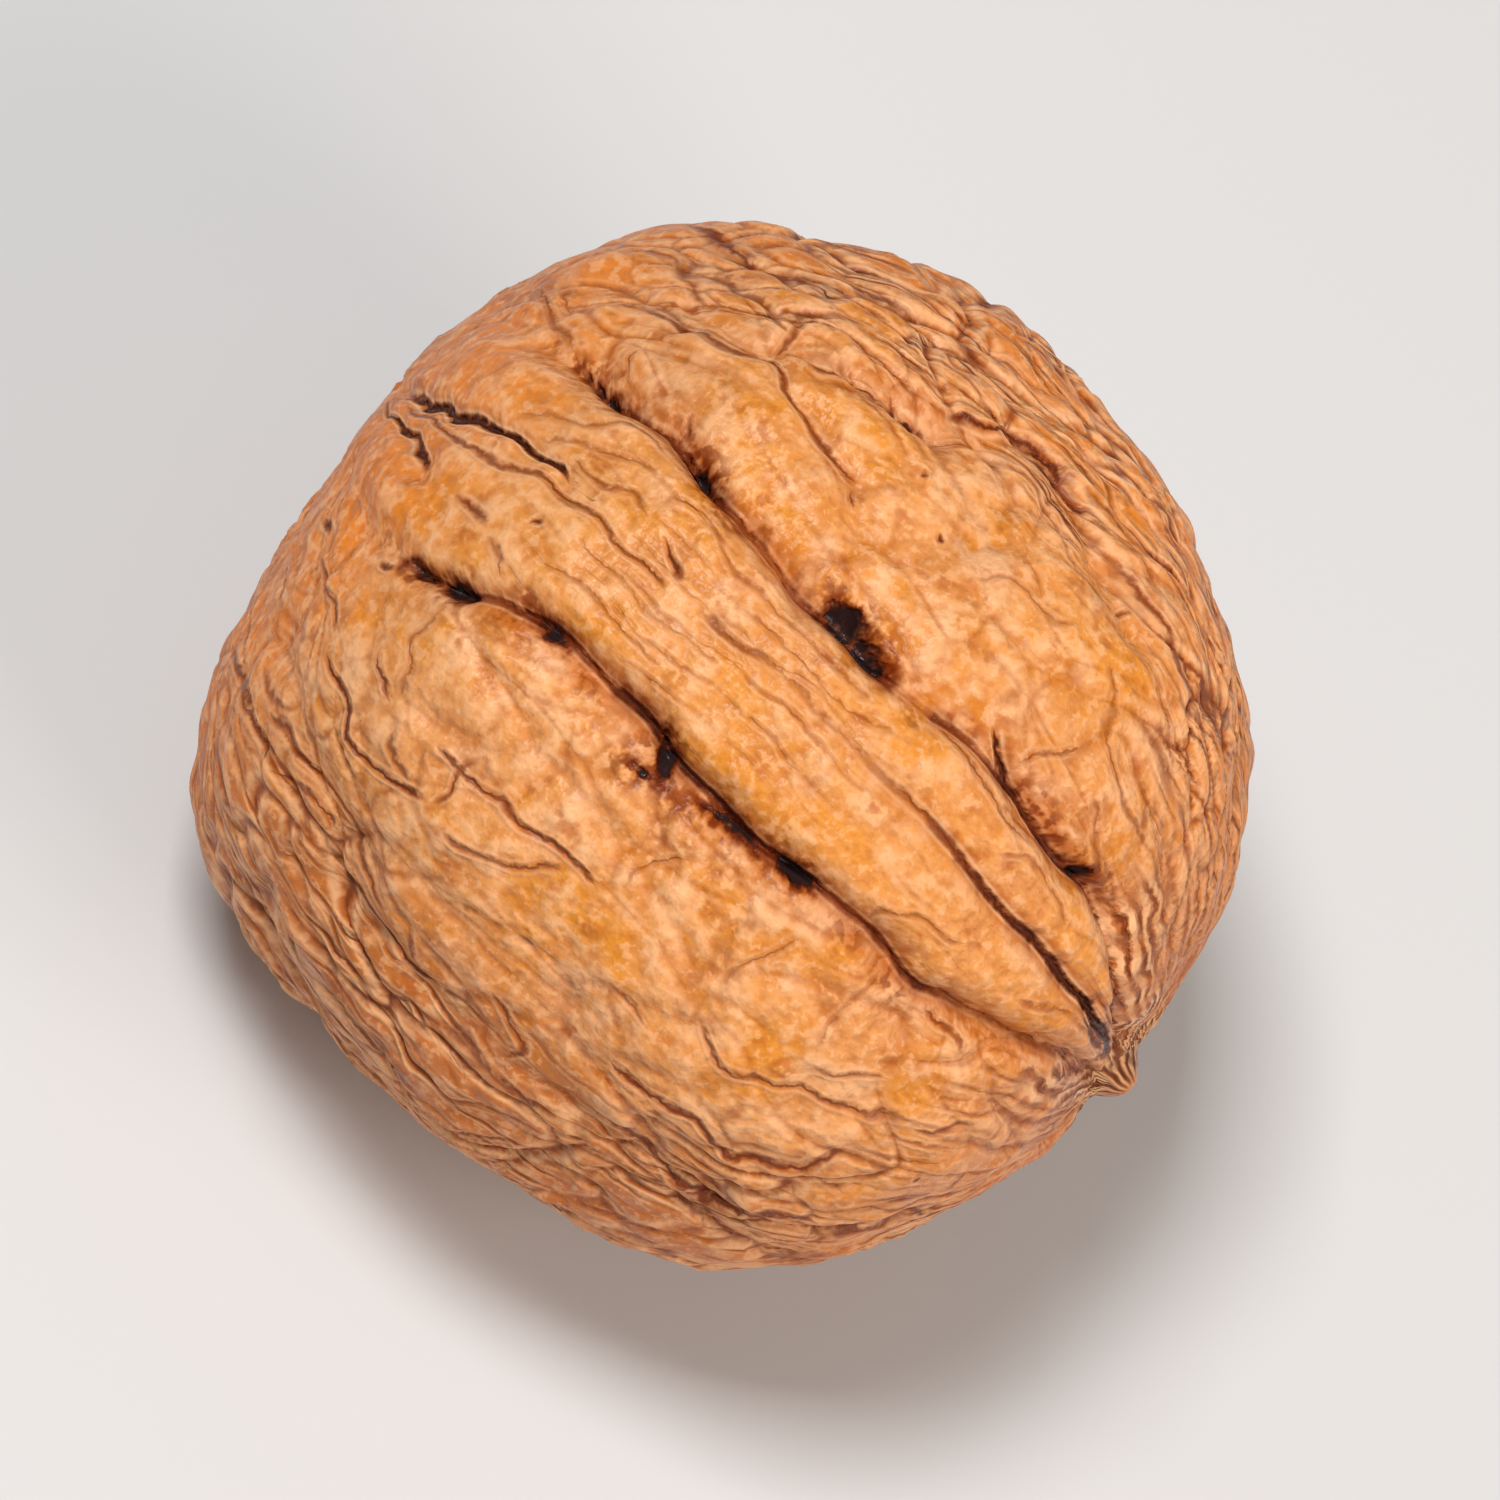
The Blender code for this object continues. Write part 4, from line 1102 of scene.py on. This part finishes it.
def drawn_lines(graph, shake, broken):
    """The placed lines: how dark they are, the warm glow round them, and the lips beside them, painted as
    highlights.
    """
    sides = graph.parts(graph.attribute("lines")) + graph.parts(graph.attribute("creases"))
    shows = graph.parts(graph.attribute("line_shows")) + graph.parts(graph.attribute("crease_shows"))
    shaken = shake * LINE_SHAKE
    dark, glow, lips = [], [], []
    for side, show, (thick, wide) in zip(sides, shows, 3 * (LINE_LOOK,) + 3 * (CREASE_LOOK,)):
        dark.append(graph.fall(side + shaken, (show * thick + LINE_LEAST) * broken) * show)
        glow.append(graph.fall(side + shaken * 2.0, wide) * show)
        lips.append(graph.fall(abs(side) - LIP_PLACE, LIP_WIDTH) * show)
    return strongest(dark), strongest(glow), strongest(lips)


def paired_lines(graph, sides, gaps, shows, widths, broken):
    """Coarse and fine lines: how dark each is, the glow round them, and the ridges beside them, painted as
    highlights.
    """
    dark, glow, ridges = [], [], []
    for side, gap, show, (line, around, place, ridge) in zip(sides, gaps, shows, widths):
        dark.append(graph.fall(side, broken * line) * show)
        glow.append(graph.fall(side, around) * show)
        ridges.append(graph.fall(gap - place, ridge) * show)
    return dark, strongest(glow), strongest(ridges)


def long_wrinkles(graph, shake, broken):
    """The long wrinkles of the sides, drawn as paired lines."""
    sides = graph.parts(graph.attribute("wrinkles"))[:2]
    shows = graph.parts(graph.attribute("wrinkle_shows"))[:2]
    shaken = [side + shake * WRINKLE_SHAKE for side in sides]
    gaps = [abs(side) for side in sides]
    dark, glow, ridges = paired_lines(graph, shaken, gaps, shows, WRINKLE_LOOKS, broken)
    return strongest(dark), glow, ridges


def net_lines(graph, shake, broken):
    """The creases of the net, drawn as paired lines."""
    net = graph.attribute("net")
    shows = graph.parts(graph.attribute("net_shows"))[:2]
    shaken = [graph.border(net, size) + shake * NET_SHAKE for size, *_ in NET]
    (coarse, fine), glow, ridges = paired_lines(graph, shaken, shaken, shows, NET_LOOKS, broken)
    return coarse.most(fine * NET_FINE_SHARE), glow * NET_GLOW_SHARE, ridges


def tip_pleats(graph, nut, waver):
    """Fine pleats that run out from the tip: their dark valleys, partly painted shade, and their ridges,
    painted as highlights.
    """
    _, y, z = graph.parts(nut)
    flow = graph.parts(graph.attribute("wrinkles"))[2]
    nub = graph.parts(graph.attribute("form"))[1]
    sheaf = graph.parts(graph.attribute("net_shows"))[2]
    across = y - float(TIP_POINT[1])
    turn = across.math("ARCTAN2", across, z)
    dark, pale = [], []
    for count, bend, shows in ((NUB_PLEATS, NUB_BEND, nub), (SHEAF_PLEATS, SHEAF_BEND, sheaf)):
        wave = turn * (0.5 * count) + flow * bend + waver
        wave = abs(wave.math("SINE", wave))
        dark.append(graph.step(wave, *PLEAT_VALLEY) * shows)
        pale.append(graph.step(wave, *PLEAT_RIDGE) * shows)
    return strongest(dark), strongest(pale), nub.most(sheaf)


def shell_signals(graph):
    """All that the colours and the finest relief of the shell follow, by name."""
    nut = graph.attribute("nut")
    along, across, depth = graph.parts(nut)
    height, _, pit_gap = graph.parts(graph.attribute("form"))
    gold, peach, blush = graph.parts(graph.attribute("tones"))
    halo = graph.parts(graph.attribute("wrinkle_shows"))[2]
    crumb, mottle, grain = (graph.noise(nut, *noise) for noise in (CRUMB, MOTTLE, GRAIN))
    shake, sway = crumb - 0.5, mottle - 0.5
    broken = graph.step(mottle, *BROKEN_SPAN) * BROKEN_GAIN + BROKEN_LEAST

    dark, line_glow, lips = drawn_lines(graph, shake, broken)
    wrinkles, wrinkle_glow, ridges = long_wrinkles(graph, shake, broken)
    creases, crease_glow, net_ridge_highlights = net_lines(graph, shake, broken)
    waver = sway * PLEAT_SWAY + shake * PLEAT_SHAKE
    pleat_dark, pleat_ridges_and_highlights, near_tip = tip_pleats(graph, nut, waver)
    glow = strongest((line_glow, wrinkle_glow, crease_glow)) * GLOW_GAIN
    ragged_pit = pit_gap + shake * PIT_SHAKE + sway * PIT_SWAY
    pits = graph.step(ragged_pit, *PIT_SPAN)
    # Painted shade on the low rim, and below on all the rims.
    rim_shade = graph.step(across, *LOW_RIM_SHADE_SPAN) * LOW_RIM_SHADE_GAIN
    return {
        "crumb": crumb,
        "mottle": mottle,
        "grain": grain,
        "grit": crumb + grain * GRIT_SHARE,
        "gold": gold,
        "peach": peach,
        "blush": blush,
        "halo": halo,
        # Relief height: its hollows take painted shade in russet, its raised parts turn more gold.
        "height": height,
        # Where the painted shade and warm painted bounce light of the sides and stem end fall.
        "side": graph.step(depth, *SIDE_SHADE_SPAN).most(graph.step(along, *STEM_SIDE_SHADE_SPAN)),
        "rim_shade": graph.step(depth, *RIM_SHADE_SPAN).most(rim_shade),
        "glow": glow.least(GLOW_MOST),
        "lips": lips,
        "ridges": ridges,
        # Painted highlights on the lips and ridges beside the lines.
        "highlight lines": strongest((lips, ridges, net_ridge_highlights)),
        "near tip": near_tip,
        # The pleat ridges feed both the finest relief and painted highlights.
        "pleat ridges": pleat_ridges_and_highlights,
        "pleat valleys": pleat_dark,
        "wrinkles": wrinkles,
        "creases": creases,
        "lines": dark,
        "full lines": (dark * LINE_GAIN).least(LINE_MOST),
        "stains": graph.step(pit_gap + sway * STAIN_SWAY, *STAIN_SPAN),
        "pits": pits,
        "pit rims": graph.step(ragged_pit, *PIT_RIM_SPAN),
        "tar": pits * (graph.step(crumb, *TAR_SPAN) * TAR_GAIN + TAR_LEAST),
    }


def shell_finish(material, finish):
    """Mottled tan shell with brown creases darkened by painted shade, ridges painted as highlights,
    painted shade in the hollows and on the rims, stained grooves and tarry pits.
    """
    graph = Graph(material)
    signals = shell_signals(graph)
    colour = graph.mix(signals["gold"], finish.tan, finish.gold)
    for name, span, share, layer, limit in COLOUR_LAYERS:
        shows = graph.step(signals[name], *span) if span else signals[name]
        shows = signals[limit] * shows if limit else shows
        colour = graph.mix(shows * share, colour, getattr(finish, layer))
    graph.feed(graph.surface.inputs["Base Color"], colour)

    rough = signals["mottle"] * ROUGH_MOTTLE + (finish.roughness - 0.5 * ROUGH_MOTTLE)
    graph.feed(graph.surface.inputs["Roughness"], rough - signals["pits"] * PIT_SMOOTHER)
    graph.feed(graph.surface.inputs["Specular IOR Level"], finish.gloss)

    relief = sum(signals[name] * height for name, height in FINE_RELIEF)
    bump = graph.add("ShaderNodeBump", None, {"Strength": finish.bump, "Distance": MM, "Height": relief})
    graph.feed(graph.surface.inputs["Normal"], bump)


def plain_material(name, colour, roughness):
    """One flat colour, for the floor."""
    material = bpy.data.materials.new(name)
    material.use_nodes = True
    surface = material.node_tree.nodes["Principled BSDF"]
    surface.inputs["Base Color"].default_value = colour
    surface.inputs["Roughness"].default_value = roughness
    return material


class ShellSizes(bpy.types.PropertyGroup):
    """Depths of the fine relief."""

    groove_cut: bpy.props.FloatProperty(
        name="Groove cut", description="Extra depth at the bottom of each groove and the seam",
        default=0.0002, min=0.0, max=0.001, precision=5, unit="LENGTH",
    )
    crease_depth: bpy.props.FloatProperty(
        name="Crease depth", description="Depth of the soft valleys along the thin creases",
        default=0.00007, min=0.0, max=0.001, precision=5, unit="LENGTH",
    )
    wrinkle_depth: bpy.props.FloatProperty(
        name="Wrinkle depth", description="Depth of the long wrinkles on the sides",
        default=0.00028, min=0.0, max=0.001, precision=5, unit="LENGTH",
    )
    dents: bpy.props.FloatProperty(
        name="Dents", description="Depth of the soft dents all over",
        default=0.0001, min=0.0, max=0.001, precision=5, unit="LENGTH",
    )


class ShellFinish(bpy.types.PropertyGroup):
    """Colours and gloss of the shell."""

    tan: bpy.props.FloatVectorProperty(
        name="Tan", description="Main colour of the shell",
        default=(0.7, 0.285, 0.082, 1.0), min=0.0, max=1.0, size=4, subtype="COLOR",
    )
    gold: bpy.props.FloatVectorProperty(
        name="Gold", description="Warmer patches of the shell",
        default=(0.68, 0.245, 0.03, 1.0), min=0.0, max=1.0, size=4, subtype="COLOR",
    )
    # Pale serves real pale patches and also the painted highlights on lips, ridges and pleats.
    pale: bpy.props.FloatVectorProperty(
        name="Pale", description="Ridges and pale patches",
        default=(0.84, 0.45, 0.22, 1.0), min=0.0, max=1.0, size=4, subtype="COLOR",
    )
    # Amber is warm painted bounce light and painted shade on the sides and stem end.
    amber_bounce_shade: bpy.props.FloatVectorProperty(
        name="Amber", description="Sides and ends of the shell",
        default=(0.74, 0.2, 0.016, 1.0), min=0.0, max=1.0, size=4, subtype="COLOR",
    )
    # Russet serves real mottling and stains, and also painted shade in the hollows and on the rims.
    russet: bpy.props.FloatVectorProperty(
        name="Russet", description="Low ground and the sides of the grooves",
        default=(0.42, 0.1, 0.015, 1.0), min=0.0, max=1.0, size=4, subtype="COLOR",
    )
    # Crease serves real stains and brown creases, and also painted shade in creases and pleat valleys.
    crease: bpy.props.FloatVectorProperty(
        name="Crease", description="Creases of the net and stains",
        default=(0.17, 0.024, 0.003, 1.0), min=0.0, max=1.0, size=4, subtype="COLOR",
    )
    crack: bpy.props.FloatVectorProperty(
        name="Crack", description="Seam, groove bottoms and cracks",
        default=(0.04, 0.009, 0.005, 1.0), min=0.0, max=1.0, size=4, subtype="COLOR",
    )
    tar: bpy.props.FloatVectorProperty(
        name="Tar", description="Pits in the grooves",
        default=(0.014, 0.01, 0.011, 1.0), min=0.0, max=1.0, size=4, subtype="COLOR",
    )
    roughness: bpy.props.FloatProperty(
        name="Roughness", description="Roughness of the smooth parts of the shell",
        default=0.35, min=0.0, max=1.0, subtype="FACTOR",
    )
    gloss: bpy.props.FloatProperty(
        name="Gloss", description="Strength of the highlights",
        default=0.14, min=0.0, max=1.0, subtype="FACTOR",
    )
    bump: bpy.props.FloatProperty(
        name="Bump", description="Strength of the finest relief",
        default=1.0, min=0.0, max=1.0, subtype="FACTOR",
    )


class Studio(bpy.types.PropertyGroup):
    """Floor, lights and camera."""

    floor_colour: bpy.props.FloatVectorProperty(
        name="Floor", description="Colour of the floor",
        default=(0.62, 0.62, 0.62, 1.0), min=0.0, max=1.0, size=4, subtype="COLOR",
    )
    key_power: bpy.props.FloatProperty(
        name="Key light", description="Power of the large soft light", default=2.25, min=0.0, unit="POWER",
    )
    fill_power: bpy.props.FloatProperty(
        name="Fill light", description="Power of the weak light from the other side",
        default=1.55, min=0.0, unit="POWER",
    )
    surround: bpy.props.FloatProperty(
        name="Surround", description="Brightness of the white surround", default=0.2, min=0.0,
    )
    distance: bpy.props.FloatProperty(
        name="Camera distance", description="From the camera to the nut",
        default=0.42, min=0.1, unit="LENGTH",
    )
    frame_width: bpy.props.FloatProperty(
        name="Frame width", description="Width of what the camera sees at the nut",
        default=0.053, min=0.01, unit="LENGTH",
    )


class WALNUT_OT_shell(bpy.types.Operator):
    """Adds the walnut in its shell"""

    bl_idname = "walnut.add_shell"
    bl_label = "Add the walnut"

    def execute(self, context):
        shell, directions = add_ball("nut")
        resting, known = shell_form(directions, context.scene.walnut_sizes)
        shell.data.vertices.foreach_set("co", resting.ravel())
        for name, values in known.items():
            stored = shell.data.attributes.new(name, "FLOAT_VECTOR", "POINT")
            stored.data.foreach_set("vector", values.astype(np.float32).ravel())
        shell.data.update()
        bpy.ops.object.shade_smooth()
        material = bpy.data.materials.new("walnut_shell")
        material.use_nodes = True
        shell_finish(material, context.scene.walnut_finish)
        shell.data.materials.append(material)
        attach(shell, "root")
        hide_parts("walnut")
        return {"FINISHED"}


def aimed(place, target):
    """The rotation that turns a camera or a light at place towards target."""
    return (target - place).to_track_quat("-Z", "Y")


def add_soft_light(name, place, target, size, power):
    """A square soft light."""
    bpy.ops.object.light_add(type="AREA", location=place)
    light = bpy.context.active_object
    light.name = name
    light.rotation_mode = "QUATERNION"
    light.rotation_quaternion = aimed(place, target)
    light.data.shape = "SQUARE"
    light.data.size = size
    light.data.energy = power
    return light


class WALNUT_OT_stage(bpy.types.Operator):
    """Adds the floor, the lights and the camera"""

    bl_idname = "walnut.add_stage"
    bl_label = "Add the studio"

    def execute(self, context):
        studio = context.scene.walnut_studio
        deselect_all()
        bpy.ops.mesh.primitive_plane_add(size=FLOOR_SIZE)
        floor = context.active_object
        floor.name = "floor"
        floor.data.materials.append(plain_material("floor", studio.floor_colour, FLOOR_ROUGHNESS))

        middle = (cad_low + cad_high) / 2.0
        back = Vector((0.0, -math.cos(CAMERA_ELEVATION), math.sin(CAMERA_ELEVATION)))
        camera_turn = back.to_track_quat("Z", "Y") @ Matrix.Rotation(CAMERA_ROLL, 3, "Z").to_quaternion()
        right = camera_turn @ Vector((1.0, 0.0, 0.0))
        up = camera_turn @ Vector((0.0, 1.0, 0.0))
        bpy.ops.object.camera_add(location=middle + back * studio.distance)
        camera = context.active_object
        camera.rotation_mode = "QUATERNION"
        camera.rotation_quaternion = camera_turn
        camera.data.sensor_width = SENSOR_WIDTH
        camera.data.lens = SENSOR_WIDTH * studio.distance / studio.frame_width
        camera.data.clip_start = NEAREST_SEEN
        context.scene.camera = camera

        sides = Matrix((up, right, back)).transposed() * LIGHT_DISTANCE
        key_place, fill_place = (middle + sides @ Vector(place) for place in (KEY_PLACE, FILL_PLACE))
        add_soft_light("key", key_place, middle, KEY_SIZE, studio.key_power)
        fill = add_soft_light("fill", fill_place, middle, FILL_SIZE, studio.fill_power)
        fill.data.color = FILL_COLOUR
        world = bpy.data.worlds.new("surround")
        world.use_nodes = True
        surround = world.node_tree.nodes["Background"].inputs
        surround["Color"].default_value = WHITE
        surround["Strength"].default_value = studio.surround
        context.scene.world = world
        context.scene.view_settings.view_transform = "Standard"
        return {"FINISHED"}


class WALNUT_PT_panel(bpy.types.Panel):
    """Lists what makes the walnut"""

    bl_idname = "WALNUT_PT_panel"
    bl_label = "Walnut"
    bl_space_type = "VIEW_3D"
    bl_region_type = "UI"
    bl_category = "Walnut"

    def draw(self, context):
        groups = (
            (WALNUT_OT_shell, (context.scene.walnut_sizes, context.scene.walnut_finish)),
            (WALNUT_OT_stage, (context.scene.walnut_studio,)),
        )
        for operator, settings in groups:
            box = self.layout.box()
            for group in settings:
                for name in group.__annotations__:
                    box.prop(group, name)
            box.operator(operator.bl_idname)


CLASSES = (ShellSizes, ShellFinish, Studio, WALNUT_OT_shell, WALNUT_OT_stage, WALNUT_PT_panel)


def register():
    for each in CLASSES:
        bpy.utils.register_class(each)
    bpy.types.Scene.walnut_sizes = bpy.props.PointerProperty(type=ShellSizes)
    bpy.types.Scene.walnut_finish = bpy.props.PointerProperty(type=ShellFinish)
    bpy.types.Scene.walnut_studio = bpy.props.PointerProperty(type=Studio)


def unregister():
    del bpy.types.Scene.walnut_sizes
    del bpy.types.Scene.walnut_finish
    del bpy.types.Scene.walnut_studio
    for each in reversed(CLASSES):
        bpy.utils.unregister_class(each)


def main():
    register()
    bpy.ops.walnut.add_shell()
    bpy.ops.walnut.add_stage()


if __name__ == "__main__":
    main()
